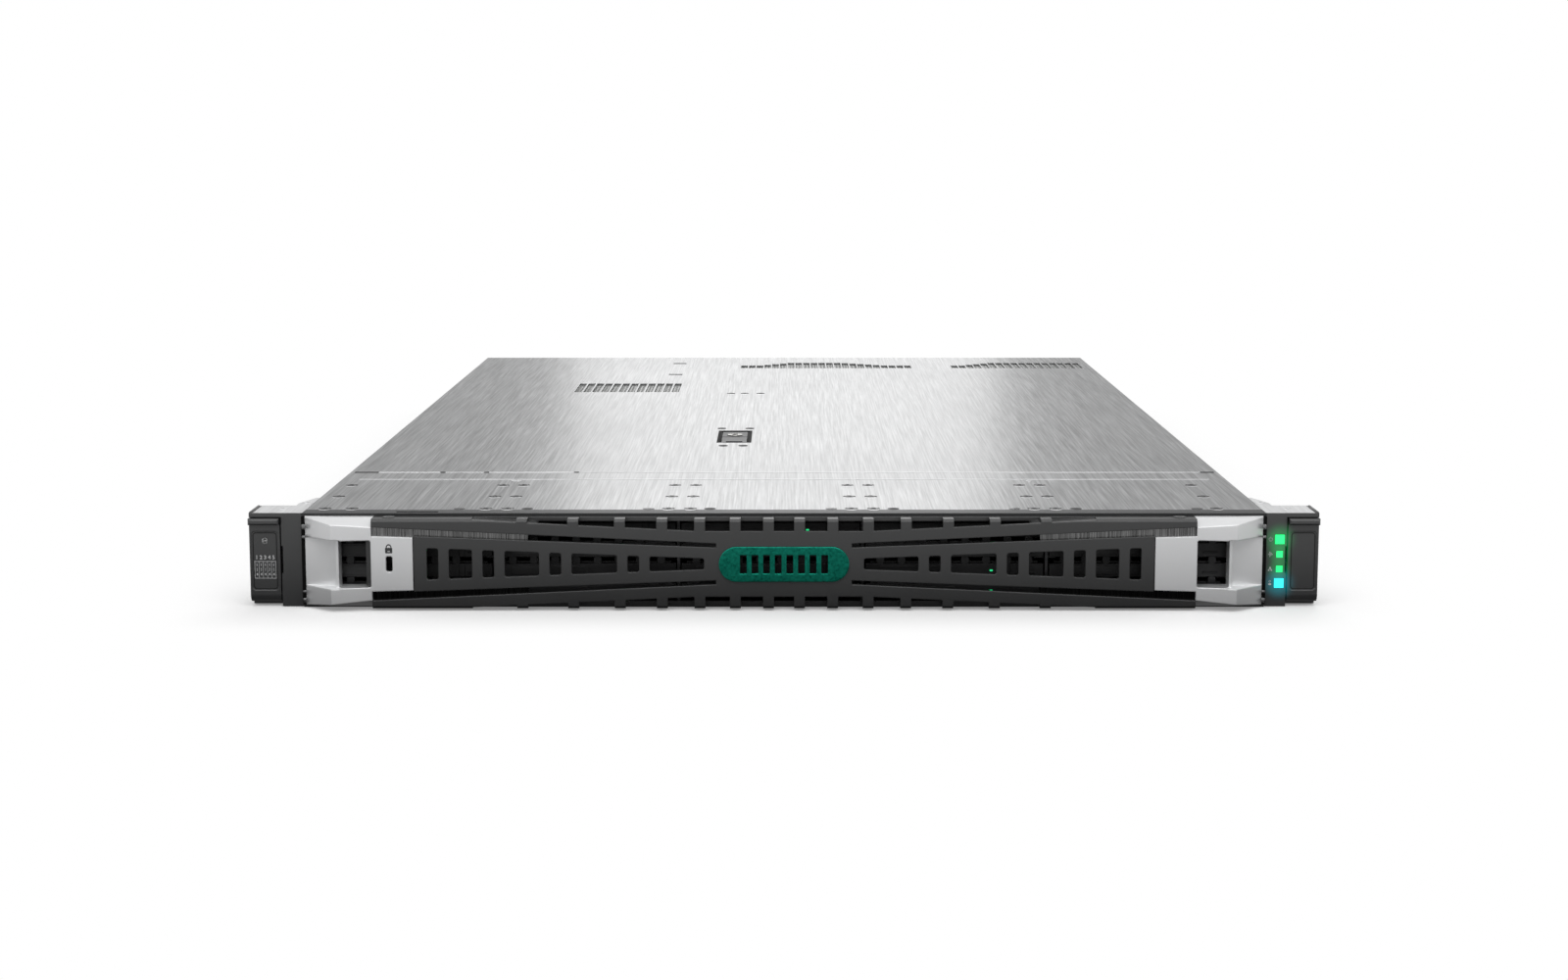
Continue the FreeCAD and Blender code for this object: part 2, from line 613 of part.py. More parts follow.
def vent_slots():
    """Left edge, front edge and length of every vent slot in the cover."""
    slots = [(FRONT_VENT_X + k * FRONT_VENT_PITCH, REAR_DEPTH - FRONT_VENT_INSET, FRONT_VENT_LENGTH)
             for k in range(FRONT_VENT_COUNT)]
    rear_y = REAR_DEPTH - REAR_VENT_INSET
    for k in range(MIDDLE_VENT_COUNT):
        rise = min(k, (MIDDLE_VENT_COUNT - 1 - k) * 0.7)
        length = min(VENT_LONG, max(VENT_SHORT, VENT_SHORT + (rise - 2) * VENT_STEP))
        slots.append((MIDDLE_VENT_X + k * VENT_PITCH, rear_y, length))
    for k in range(SIDE_VENT_COUNT):
        length = min(VENT_LONG, VENT_SHORT + max(0, k - 1) * VENT_STEP)
        slots.append((SIDE_VENT_X + k * VENT_PITCH, rear_y, length))
    return slots


def latch_outline(margin):
    """X and Y limits of the latch recess, grown by a margin."""
    half = LATCH_WIDTH / 2 + margin
    return LATCH_X - half, LATCH_X + half, LATCH_FRONT - margin, LATCH_FRONT + LATCH_LENGTH + margin


def latch_pin_place():
    """Y and Z of the latch lever's hinge pin."""
    return LATCH_FRONT + LATCH_LENGTH - LATCH_PIN_BACK, CHASSIS_HEIGHT - LATCH_SUNK - LATCH_LEVER_THICK / 2


def cover_latch_tray():
    """Recessed tray that the cover latch folds into, with the latch's hinge pin."""
    floor_z = CHASSIS_HEIGHT - LATCH_TRAY_DEPTH
    tray = box(*latch_outline(LATCH_TRAY_WALL), floor_z, CHASSIS_HEIGHT)
    inside = box(*latch_outline(0), floor_z + LATCH_TRAY_WALL, CHASSIS_HEIGHT + FAR)
    x0, x1, _, _ = latch_outline(LATCH_TRAY_WALL / 2)
    y, z = latch_pin_place()
    return fuse([cut(tray, [inside]), rod(LATCH_PIN_R, (x0, y, z), (x1, y, z))])


def cover_latch_lever():
    """Lever that lifts to release the cover, hinged at its back end, with a finger notch in front."""
    x0, x1, y0, y1 = latch_outline(-FIT)
    pin_y, pin_z = latch_pin_place()
    top = CHASSIS_HEIGHT - LATCH_SUNK
    knuckle_r = LATCH_LEVER_THICK / 2
    plate = box(x0, x1, y0, pin_y, top - LATCH_LEVER_THICK, top)
    knuckle = rod(knuckle_r, (x0, pin_y, pin_z), (x1, pin_y, pin_z))
    finger = box(LATCH_X - LATCH_NOTCH / 2, LATCH_X + LATCH_NOTCH / 2, y0 - FAR, y0 + LATCH_NOTCH_LENGTH,
                 top - LATCH_LEVER_THICK / 2, top + FAR)
    bore = rod(LATCH_PIN_R + PIN_CLEAR, (x0 - FAR, pin_y, pin_z), (x1 + FAR, pin_y, pin_z))
    return cut(fuse([plate, knuckle]), [finger, bore])


def stud_places():
    """The studs' places along the chassis, evenly spaced."""
    pitch = (REAR_DEPTH - STUD_LAST - STUD_FIRST) / (STUD_COUNT - 1)
    return [STUD_FIRST + k * pitch for k in range(STUD_COUNT)]


def rail_studs():
    """Shoulder studs that the slide rails' keyholes hook over."""
    studs = []
    for side in (-1, 1):
        for y in stud_places():
            a = side * HALF_WIDTH
            b = side * (HALF_WIDTH + STUD_NECK)
            c = side * (HALF_WIDTH + STUD_NECK + STUD_HEAD)
            studs.append(fuse([bar(8, STUD_NECK_R, (a, y, STUD_Z), (b, y, STUD_Z)),
                               rod(STUD_HEAD_R, (b, y, STUD_Z), (c, y, STUD_Z))]))
    return group(studs)


# ---- Drives --------------------------------------------------------------------------------------
def box_middle(index):
    """Middle of a drive box across the chassis."""
    return CAGE_LEFT + (index + 0.5) * BOX_PITCH


def drive_height(index):
    """Middle height of a drive in its box."""
    return FIRST_DRIVE_Z + index * DRIVE_PITCH


def drive_cage():
    """Floor sheet, walls between the boxes, and the ledges that the drives' rails slide on."""
    left, right = CAGE_LEFT, CAGE_RIGHT
    top = CHASSIS_HEIGHT - FRAME_BORDER - FIT
    pieces = [box(left, right, -PANEL_FRONT, CAGE_BACK + SHEET, SHEET, CAGE_FLOOR)]
    for k in range(BOX_COUNT + 1):
        x = left + k * BOX_PITCH
        wall = (max(x - CAGE_WALL / 2, left), min(x + CAGE_WALL / 2, right))
        pieces.append(box(*wall, -PANEL_FRONT, BACKPLANE_Y - FIT, SHEET, top))
        pieces.append(box(*wall, -CAGE_FACE, -PANEL_FRONT, FRAME_BORDER + FIT, top))
        for side in (-1, 1):
            if (k == 0 and side < 0) or (k == BOX_COUNT and side > 0):
                continue
            inner = wall[0] if side < 0 else wall[1]
            for d in range(DRIVES_PER_BOX):
                ledge_top = drive_height(d) - DRIVE_THICK / 2 - FIT / 2
                x0, x1 = sorted((inner, x + side * (BOX_PITCH / 2 - DRIVE_BODY_WIDTH / 2 + LEDGE_LAP)))
                pieces.append(box(x0, x1, -PANEL_FRONT, DRIVE_BACK, ledge_top - LEDGE_THICK, ledge_top))
    return fuse(pieces)


def drive(box_index, index):
    """One drive in its carrier: body, front bar, and the ejector that stands back from it."""
    x, z = box_middle(box_index), drive_height(index)
    front = -CAGE_FACE
    half = DRIVE_FRONT_WIDTH / 2
    body = rect_y(x, z, DRIVE_BODY_WIDTH, DRIVE_THICK, front + DRIVE_BAR_DEPTH, DRIVE_BACK)
    z0, z1 = z - DRIVE_BAR_HEIGHT / 2, z + DRIVE_BAR_HEIGHT / 2
    outline = [Vector(px, py, z0) for px, py in
               ((x - half, front), (x + half - DRIVE_BUTTON_WIDTH, front),
                (x + half - DRIVE_BUTTON_WIDTH, front + DRIVE_BUTTON_BACK), (x + half, front + DRIVE_BUTTON_BACK),
                (x + half, front + DRIVE_BAR_DEPTH), (x - half, front + DRIVE_BAR_DEPTH))]
    front_bar = Part.Face(Part.makePolygon(outline + outline[:1])).extrude(Vector(0, 0, z1 - z0))
    return fuse([body, front_bar])


def drive_box(box_index):
    """The four drives of one box."""
    return group([drive(box_index, d) for d in range(DRIVES_PER_BOX)])


def drive_backplane():
    """Upright board behind the drives, with one connector for each and air slots between."""
    z0, z1 = CAGE_FLOOR, WALL_TOP - BACKPLANE_DROP
    board = box(CAGE_LEFT, CAGE_RIGHT, BACKPLANE_Y, CAGE_BACK, z0, z1)
    connectors = [rect_y(box_middle(b), drive_height(d), CONNECTOR_WIDTH, CONNECTOR_HEIGHT,
                         BACKPLANE_Y - CONNECTOR_DEPTH, BACKPLANE_Y)
                  for b in range(BOX_COUNT) for d in range(DRIVES_PER_BOX)]
    air = [rect_y(CAGE_LEFT + k * BOX_PITCH, MID_Z, AIR_SLOT_WIDTH, AIR_SLOT_HEIGHT,
                  BACKPLANE_Y - FAR, CAGE_BACK + FAR) for k in range(1, BOX_COUNT)]
    return cut(fuse([board] + connectors), air)


# ---- Fans ----------------------------------------------------------------------------------------
def fan_middle(index):
    """Middle of a fan across the chassis."""
    return (index - (FAN_COUNT - 1) / 2) * FAN_PITCH


def fan_frame(index):
    """Fan housing with its bore, and the bar behind the rotor that carries its shaft."""
    x, z = fan_middle(index), FAN_MID_Z
    back = FAN_FRONT + FAN_DEPTH
    shell = rect_y(x, z, FAN_WIDTH, FAN_HEIGHT, FAN_FRONT, back)
    bore = rod(FAN_BORE_R, (x, FAN_FRONT - FAR, z), (x, back + FAR, z))
    spider = ROTOR_FRONT + ROTOR_LENGTH + SPIDER_GAP
    arm = rect_y(x, z, SPIDER_ARM, 2 * FAN_BORE_R + FIT, spider, spider + SPIDER_DEPTH)
    shaft = bar(SHAFT_SIDES, FAN_SHAFT_R, (x, ROTOR_FRONT + ROTOR_CAP + FIT, z), (x, spider, z))
    return fuse([cut(shell, [bore]), arm, shaft])


def fan_rotor(index):
    """Hub with its ring of blades, bored from the back for the shaft."""
    x, z = fan_middle(index), FAN_MID_Z
    chord = ROTOR_LENGTH * 0.7
    sweep = chord / 2 * math.sin(math.radians(BLADE_ANGLE)) + BLADE_THICK
    reach = math.sqrt((FAN_BORE_R - ROTOR_TIP_GAP) ** 2 - sweep ** 2)
    root = ROTOR_HUB_R * 0.8
    back = ROTOR_FRONT + ROTOR_LENGTH
    blades = []
    for k in range(ROTOR_BLADES):
        blade = Part.makeBox(BLADE_THICK, chord, reach - root, Vector(-BLADE_THICK / 2, -chord / 2, root))
        blade.rotate(Vector(0, 0, 0), Vector(0, 0, 1), BLADE_ANGLE)
        blade.rotate(Vector(0, 0, 0), Vector(0, 1, 0), (k + 0.5) * 360 / ROTOR_BLADES)
        blade.translate(Vector(x, (ROTOR_FRONT + back) / 2, z))
        blades.append(blade)
    hub = bar(2 * ROTOR_BLADES, ROTOR_HUB_R, (x, ROTOR_FRONT, z), (x, back, z))
    bore_r = (FAN_SHAFT_R + PIN_CLEAR) / math.cos(math.pi / BORE_SIDES)
    bore = bar(BORE_SIDES, bore_r, (x, ROTOR_FRONT + ROTOR_CAP, z), (x, back + FAR, z))
    return cut(fuse([hub] + blades), [bore])


# ---- Electronics ---------------------------------------------------------------------------------
def system_board():
    """Main board, cut back round the power supplies."""
    side = WALL_INSIDE - BOARD_SIDE_GAP
    board = box(-side, side, BOARD_FRONT, BOARD_REAR, BOARD_Z, BOARD_TOP)
    bay = box(-side - FAR, PSU_BAY_EDGE + SHEET + FIT, PSU_FRONT - BOARD_BAY_GAP, BOARD_REAR + FAR,
              0, CHASSIS_HEIGHT)
    return cut(board, [bay])


def processors():
    """The two processors in their sockets."""
    return group([box(s * CPU_X - CPU_WIDTH / 2, s * CPU_X + CPU_WIDTH / 2, CPU_Y - CPU_LENGTH / 2,
                      CPU_Y + CPU_LENGTH / 2, BOARD_TOP, BOARD_TOP + CPU_HEIGHT) for s in (-1, 1)])


def cpu_heatsink(side):
    """Finned block on one processor."""
    x = side * CPU_X
    z0 = BOARD_TOP + CPU_HEIGHT
    base_top = z0 + SINK_BASE
    pitch = (SINK_WIDTH - SINK_FIN) / (SINK_FINS - 1)
    left = x - SINK_WIDTH / 2
    outline = [(left, z0)]
    for k in range(SINK_FINS):
        fin = left + k * pitch
        if k:
            outline.append((fin, base_top))
        outline += [(fin, SINK_TOP), (fin + SINK_FIN, SINK_TOP)]
        if k < SINK_FINS - 1:
            outline.append((fin + SINK_FIN, base_top))
    outline.append((left + SINK_WIDTH, z0))
    return prism_y(outline, CPU_Y - SINK_LENGTH / 2, CPU_Y + SINK_LENGTH / 2)


def dimm_places():
    """Middles of the memory modules across the board: a bank on each side of each processor."""
    start = SINK_WIDTH / 2 + DIMM_PITCH
    offsets = [start + k * DIMM_PITCH for k in range(DIMM_COUNT)]
    return [[s * CPU_X + t * d for d in offsets] for s in (-1, 1) for t in (-1, 1)]


def memory_sockets():
    """The sockets, side by side in one block for each bank."""
    half = DIMM_LENGTH / 2 + SOCKET_END
    return group([box(min(bank) - SOCKET_WIDTH / 2, max(bank) + SOCKET_WIDTH / 2, CPU_Y - half, CPU_Y + half,
                      BOARD_TOP, BOARD_TOP + SOCKET_HEIGHT) for bank in dimm_places()])


def memory_modules():
    """The memory modules, standing in their sockets."""
    z0 = BOARD_TOP + SOCKET_HEIGHT
    return group([box(x - DIMM_THICK / 2, x + DIMM_THICK / 2, CPU_Y - DIMM_LENGTH / 2, CPU_Y + DIMM_LENGTH / 2,
                      z0, z0 + DIMM_HEIGHT) for bank in dimm_places() for x in bank])


# ---- Power supplies ------------------------------------------------------------------------------
def psu(index):
    """Power supply: housing with its inlet and contacts, fan grille and the handle's lugs."""
    x, z = PSU_X[index], PSU_MID_Z
    body = rect_y(x, z, PSU_WIDTH, PSU_HEIGHT, PSU_FRONT, PSU_BACK)
    inlet_x = x + INLET_X
    w, h = INLET_WIDTH / 2, INLET_HEIGHT / 2
    inlet = prism_y([(inlet_x - w, z - h), (inlet_x + w, z - h), (inlet_x + w, z + h - INLET_BEVEL),
                     (inlet_x + w - INLET_BEVEL, z + h), (inlet_x - w + INLET_BEVEL, z + h),
                     (inlet_x - w, z + h - INLET_BEVEL)], PSU_BACK - INLET_DEPTH, PSU_BACK + FAR)
    collar = rect_y(inlet_x, z, INLET_WIDTH + 2 * INLET_COLLAR, INLET_HEIGHT + 2 * INLET_COLLAR, PSU_BACK,
                    PSU_BACK + INLET_PROUD)
    contacts = [rect_y(inlet_x + dx, z + dz, CONTACT_WIDTH, CONTACT_HEIGHT, PSU_BACK - INLET_DEPTH,
                       PSU_BACK - INLET_DEPTH + CONTACT_LENGTH) for dx, dz in CONTACTS]
    slots = [rect_y(x + GRILLE_X + (k - (GRILLE_COUNT - 1) / 2) * GRILLE_PITCH, z, GRILLE_SLOT,
                    PSU_HEIGHT - 2 * GRILLE_MARGIN, PSU_BACK - GRILLE_DEPTH, PSU_BACK + FAR)
             for k in range(GRILLE_COUNT)]
    release_x = x + RELEASE_X
    slots.append(box(release_x - RELEASE_THICK / 2 - RELEASE_TRAVEL - FIT, release_x + RELEASE_THICK / 2 + FIT,
                     PSU_BACK - RELEASE_ROOT - FIT, PSU_BACK + FAR,
                     z - RELEASE_HEIGHT / 2 - FIT, z + RELEASE_HEIGHT / 2 + FIT))
    pin_y = PSU_BACK + HANDLE_OFFSET
    handle_x = x + HANDLE_X
    outside = HANDLE_WIDTH / 2 + FIT + LUG_THICK
    lugs = []
    for side in (-1, 1):
        lug_x = handle_x + side * (outside - LUG_THICK / 2)
        lugs.append(box(lug_x - LUG_THICK / 2, lug_x + LUG_THICK / 2, PSU_BACK, pin_y + LUG_HALF,
                        HANDLE_PIVOT_Z - LUG_HALF, HANDLE_PIVOT_Z + LUG_HALF))
    pin = rod(HANDLE_PIN_R, (handle_x - outside, pin_y, HANDLE_PIVOT_Z),
              (handle_x + outside, pin_y, HANDLE_PIVOT_Z))
    return fuse([cut(fuse([body, collar]), [inlet] + slots)] + contacts + lugs + [pin])


def psu_handle(index):
    """Pull handle that hangs flat on the supply's face and swings out."""
    x = PSU_X[index] + HANDLE_X
    pin_y = PSU_BACK + HANDLE_OFFSET
    y0, y1 = pin_y - HANDLE_THICK / 2, pin_y + HANDLE_THICK / 2
    top, bottom = HANDLE_PIVOT_Z, HANDLE_PIVOT_Z - HANDLE_DROP
    half = HANDLE_WIDTH / 2
    eye = HANDLE_PIN_R + HANDLE_EYE
    legs = [box(x + s * half - (s > 0) * HANDLE_STRAP, x + s * half + (s < 0) * HANDLE_STRAP,
                y0, y1, bottom, top + eye) for s in (-1, 1)]
    grip = box(x - half, x + half, y0, y1 + HANDLE_SWELL, bottom, bottom + HANDLE_STRAP)
    bore = rod(HANDLE_PIN_R + PIN_CLEAR, (x - half - FAR, pin_y, top), (x + half + FAR, pin_y, top))
    return cut(fuse(legs + [grip]), [bore])


def psu_release(index):
    """Sprung tab that is pushed sideways to free the supply, with a thumb pad at its end."""
    x = PSU_X[index] + RELEASE_X
    back = PSU_BACK + RELEASE_REACH
    tab = rect_y(x, PSU_MID_Z, RELEASE_THICK, RELEASE_HEIGHT, PSU_BACK - RELEASE_ROOT, back)
    pad = box(x - RELEASE_THICK / 2, x - RELEASE_THICK / 2 + RELEASE_PAD, back - RELEASE_THICK, back,
              PSU_MID_Z - RELEASE_HEIGHT / 2, PSU_MID_Z + RELEASE_HEIGHT / 2)
    return fuse([tab, pad])


def psu_connector_board():
    """Upright board that the two supplies plug into."""
    y = PSU_FRONT - PLUG_BOARD_GAP
    board = box(-WALL_INSIDE + FIT, PSU_BAY_EDGE - FIT, y, y + BACKPLANE_THICK, SHEET, WALL_TOP - BACKPLANE_DROP)
    plugs = [rect_y(x, PSU_MID_Z - PLUG_DROP, PLUG_WIDTH, PLUG_HEIGHT, y + BACKPLANE_THICK, PSU_FRONT - PLUG_GAP)
             for x in PSU_X]
    return fuse([board] + plugs)


# ---- Risers, adapters and ports ------------------------------------------------------------------
def riser_side(x):
    """Left edge of the riser cage of the card slot at x."""
    return x - SLOT_WIDTH / 2 - RISER_LAP


def riser_cage(index):
    """Folded sheet that carries the cards of one slot: shelf, side wall, and feet on the board."""
    left = riser_side(SLOT_X[index])
    right = left + SLOT_WIDTH + 2 * RISER_LAP
    front, back = RISER_FRONT, REAR_INSIDE - COVER_LAP
    shelf_top = RISER_SHELF_Z + SHEET
    shelf = box(left, right, front, back, RISER_SHELF_Z, shelf_top)
    wall = box(left, left + SHEET, front, back, RISER_SHELF_Z, WALL_TOP - FIT)
    stop = box(left, right, front, front + SHEET, RISER_SHELF_Z, shelf_top + RISER_STOP)
    feet = [box(x, x + RISER_FOOT, front, front + SHEET, BOARD_TOP, shelf_top)
            for x in (left, right - RISER_FOOT)]
    return fuse([shelf, wall, stop] + feet)


def riser_boards():
    """Upright riser cards in their board sockets, beside the cages."""
    cards = []
    for x in SLOT_X:
        right = riser_side(x) - RISER_GAP
        left = right - BACKPLANE_THICK
        y0 = RISER_FRONT + RISER_CARD_START
        y1 = y0 + RISER_CARD_LENGTH
        card = box(left, right, y0, y1, BOARD_TOP, WALL_TOP - RISER_CARD_DROP)
        socket = box(left - RISER_SOCKET_WALL, right + RISER_SOCKET_WALL, y0 - RISER_SOCKET_END,
                     y1 + RISER_SOCKET_END, BOARD_TOP, BOARD_TOP + RISER_SOCKET_HEIGHT)
        cards.append(fuse([card, socket]))
    return group(cards)


def slot_blanks():
    """Vented blanks that close the two card slots, lapped behind the rear panel."""
    blanks = []
    width, height = SLOT_WIDTH + 2 * COVER_LAP, SLOT_TOP - SLOT_BOTTOM + 2 * COVER_LAP
    for x in SLOT_X:
        plate = rect_y(x, SLOT_MID_Z, width, height, REAR_INSIDE - SHEET, REAR_INSIDE)
        vents = [rect_y(x + (k - (BLANK_VENT_COUNT - 1) / 2) * BLANK_VENT_PITCH, SLOT_MID_Z, BLANK_VENT,
                        height - 2 * BLANK_MARGIN, REAR_INSIDE - FAR, REAR_INSIDE + FAR)
                 for k in range(BLANK_VENT_COUNT)]
        blanks.append(cut(plate, vents))
    return group(blanks)


def mezzanine_face(x):
    """Face plate of a mezzanine slot."""
    return rect_y(x, MEZZ_MID_Z, MEZZ_WIDTH - 2 * FIT, MEZZ_TOP - MEZZ_BOTTOM - 2 * FIT, REAR_INSIDE,
                  REAR_DEPTH + MEZZ_PROUD)


def network_adapter():
    """Mezzanine network adapter: face plate, card and two module cages."""
    x = MEZZ_X[0]
    card_top = MEZZ_BOTTOM + ADAPTER_CARD_Z
    half = MEZZ_WIDTH / 2 - ADAPTER_CARD_SIDE
    card = box(x - half, x + half, REAR_DEPTH - ADAPTER_LENGTH, REAR_INSIDE,
               card_top - ADAPTER_CARD_THICK, card_top)
    z = card_top + PORT_CAGE_HEIGHT / 2
    back = REAR_DEPTH + PORT_CAGE_PROUD
    cages = [rect_y(x + dx, z, PORT_CAGE_WIDTH, PORT_CAGE_HEIGHT, back - PORT_CAGE_LENGTH, back)
             for dx in PORT_X]
    holes = [rect_y(x + dx, z, PORT_CAGE_WIDTH - 2 * PORT_WALL, PORT_CAGE_HEIGHT - 2 * PORT_WALL,
                    back - PORT_DEPTH, back + FAR) for dx in PORT_X]
    return cut(fuse([mezzanine_face(x), card] + cages), holes)


def mezzanine_blank():
    """Vented blank in the second mezzanine slot, with a pull tab."""
    x = MEZZ_X[1]
    lip = rect_y(x, MEZZ_MID_Z, MEZZ_WIDTH + 2 * COVER_LAP, MEZZ_TOP - MEZZ_BOTTOM - 2 * COVER_LAP,
                 REAR_INSIDE - SHEET, REAR_INSIDE)
    tab = rect_y(x + PULL_X, MEZZ_MID_Z, PULL_WIDTH, PULL_THICK, REAR_DEPTH,
                 REAR_DEPTH + MEZZ_PROUD + PULL_REACH)
    vents = [rect_y(x + MEZZ_VENT_X + (k - (MEZZ_VENT_COUNT - 1) / 2) * MEZZ_VENT_PITCH, MEZZ_MID_Z, MEZZ_VENT,
                    MEZZ_VENT_HEIGHT, REAR_INSIDE - FAR, REAR_DEPTH + FAR) for k in range(MEZZ_VENT_COUNT)]
    return cut(fuse([mezzanine_face(x), lip, tab]), vents)


def port(face, length, side_wall, lip, depth):
    """A port's shell with its opening: face is its middle, width and height."""
    x, z, width, height = face
    shell = rect_y(x, z, width, height, PORTS_BACK - length, PORTS_BACK)
    hollow = rect_y(x, z, width - 2 * side_wall, height - 2 * lip, PORTS_BACK - depth, PORTS_BACK + FAR)
    return cut(shell, [hollow])


def rear_ports():
    """Management jack, two stacked serial-bus ports and the video port on the board's back edge."""
    jack, lower, upper, video = port_faces()
    stack = [port(face, USB_LENGTH, USB_WALL, USB_WALL, USB_DEPTH) for face in (lower, upper)]
    stack += [rect_y(x, z + TONGUE_RISE, w - 4 * USB_WALL, TONGUE_THICK,
                     PORTS_BACK - USB_DEPTH - FIT, PORTS_BACK - 2 * FIT)
              for x, z, w, _ in (lower, upper)]
    stack.append(rect_y(USB_X, (lower[1] + upper[1]) / 2, USB_WIDTH, USB_SPACE, PORTS_BACK - USB_LENGTH,
                        PORTS_BACK - USB_LENGTH / 2))
    return group([port(jack, JACK_LENGTH, JACK_WALL, JACK_LIP, JACK_DEPTH), fuse(stack),
                  port(video, VIDEO_LENGTH, VIDEO_WALL, VIDEO_WALL, VIDEO_DEPTH)])


# ---- Ears ----------------------------------------------------------------------------------------
def ear_bracket():
    """Right ear's folded steel: rack flange, top plate, and the leg riveted to the chassis side."""
    outer = EAR_OUTER - EAR_LIP - FIT
    flange = box(EAR_INNER, EAR_OUTER, -FLANGE_THICK, 0, EAR_BOTTOM, CHASSIS_HEIGHT)
    plate = box(EAR_INNER, outer, EAR_FACE + 1.0, 0, CHASSIS_HEIGHT - EAR_TOP_PLATE, CHASSIS_HEIGHT)
    leg_x = EAR_INNER + EAR_LEG_THICK
    leg = box(EAR_INNER, leg_x, -FLANGE_THICK, EAR_LEG_LENGTH, EAR_BOTTOM, CHASSIS_HEIGHT)
    wing = Part.Face(Part.makePolygon([Vector(leg_x, 0, CHASSIS_HEIGHT), Vector(leg_x + 5, 0, CHASSIS_HEIGHT),
                                       Vector(leg_x + 5, 7, CHASSIS_HEIGHT),
                                       Vector(leg_x, EAR_LEG_LENGTH, CHASSIS_HEIGHT),
                                       Vector(leg_x, 0, CHASSIS_HEIGHT)])).extrude(Vector(0, 0, -EAR_TOP_PLATE))
    hole = rod(SCREW_HOLE_R, (SCREW_X, -FAR, MID_Z), (SCREW_X, FAR, MID_Z))
    return cut(fuse([flange, plate, leg, wing]), [hole])


def ear_cover(with_status):
    """Right ear's moulded cover: column, lever pocket and pin, with the status holes if asked for."""
    shell = box(EAR_INNER, EAR_OUTER, EAR_FACE, -FLANGE_THICK, EAR_BOTTOM, CHASSIS_HEIGHT)
    knuckle_back = PIVOT_Y + LEVER_KNUCKLE_R + FIT
    pocket_back = EAR_FACE + LEVER_THICK + LEVER_GAP
    head = 2 * SCREW_HEAD_R + SCREW_ROOM
    tools = [
        box(EAR_INNER + EAR_WALL, EAR_OUTER - EAR_WALL, pocket_back + EAR_WALL, 0, EAR_BOTTOM + EAR_WALL, MID_Z * 4),
        box(EAR_INNER + EAR_WALL, COLUMN_EDGE - COLUMN_WALL, EAR_FACE + EAR_WALL, 0,
            EAR_BOTTOM + EAR_WALL, MID_Z * 4),
        box(EAR_INNER - FAR, EAR_OUTER - EAR_LIP, EAR_FACE + 1.0 - FIT, 0,
            CHASSIS_HEIGHT - EAR_TOP_PLATE - FIT, MID_Z * 4),
        box(COLUMN_EDGE, EAR_OUTER + FAR, EAR_FACE - FAR, pocket_back, -FAR, LEVER_TOP + 0.3),
        box(COLUMN_EDGE, EAR_OUTER + FAR, EAR_FACE - FAR, knuckle_back, -FAR,
            LEVER_PIVOT_Z + LEVER_KNUCKLE_R + LEVER_GAP),
        rect_y(SCREW_X, MID_Z, head, head, EAR_FACE, FAR),
    ]
    if with_status:
        x = EAR_INNER + STATUS_X
        side = BUTTON_SIZE + 2 * BUTTON_CLEAR
        tools += [rect_y(x, z, side, side, EAR_FACE - FAR, EAR_FACE + FAR) for z in BUTTON_Z]
        tools += [rect_y(x, z, LIGHT_SIZE, LIGHT_SIZE, EAR_FACE - FAR, EAR_FACE + FAR) for z in LIGHT_Z]
    pin = rod(LEVER_PIN_R, (COLUMN_EDGE - 1, PIVOT_Y, LEVER_PIVOT_Z), (EAR_OUTER - 0.5, PIVOT_Y, LEVER_PIVOT_Z))
    return fuse([cut(shell, tools), pin])


def ear_lever():
    """Right quick-release lever: plate, finger lip, knuckle and the label's recess."""
    inner, outer = LEVER_INNER, EAR_OUTER
    plate = box(inner, outer, EAR_FACE, EAR_FACE + LEVER_THICK, LEVER_PIVOT_Z, LEVER_TOP)
    lip = box(inner, outer, EAR_FACE - LIP_REACH, EAR_FACE + 1, LEVER_TOP - LIP_HEIGHT, LEVER_TOP)
    outer_edges = [e for e in lip.Edges if abs(e.CenterOfMass.y - (EAR_FACE - LIP_REACH)) < 0.01]
    lip = lip.makeChamfer(LIP_BEVEL, outer_edges)
    knuckle = rod(LEVER_KNUCKLE_R, (inner, PIVOT_Y, LEVER_PIVOT_Z), (outer, PIVOT_Y, LEVER_PIVOT_Z))
    label_mid = (inner + outer) / 2
    recess = rect_y(label_mid, (LABEL_BOTTOM + LABEL_TOP) / 2, outer - inner - 2 * LABEL_MARGIN,
                    LABEL_TOP - LABEL_BOTTOM, EAR_FACE - FAR, EAR_FACE + LABEL_RECESS, LABEL_CORNER)
    bore = rod(LEVER_PIN_R + PIN_CLEAR, (inner - FAR, PIVOT_Y, LEVER_PIVOT_Z),
               (outer + FAR, PIVOT_Y, LEVER_PIVOT_Z))
    return cut(fuse([plate, lip, knuckle]), [recess.common(plate), bore])


def rack_screws():
    """Screws in the ears: hexagonal head in the pocket, shank through the flange and on behind it."""
    screws = []
    for side in (-1, 1):
        x = side * SCREW_X
        screws.append(fuse([
            bar(6, SCREW_HEAD_R, (x, -FLANGE_THICK - SCREW_HEAD, MID_Z), (x, -FLANGE_THICK, MID_Z)),
            bar(8, SCREW_NECK_R, (x, -FLANGE_THICK - SCREW_HEAD / 2, MID_Z), (x, SCREW_START, MID_Z)),
            rod(SCREW_R, (x, SCREW_START, MID_Z), (x, SCREW_START + SCREW_LENGTH, MID_Z)),
        ]))
    return group(screws)


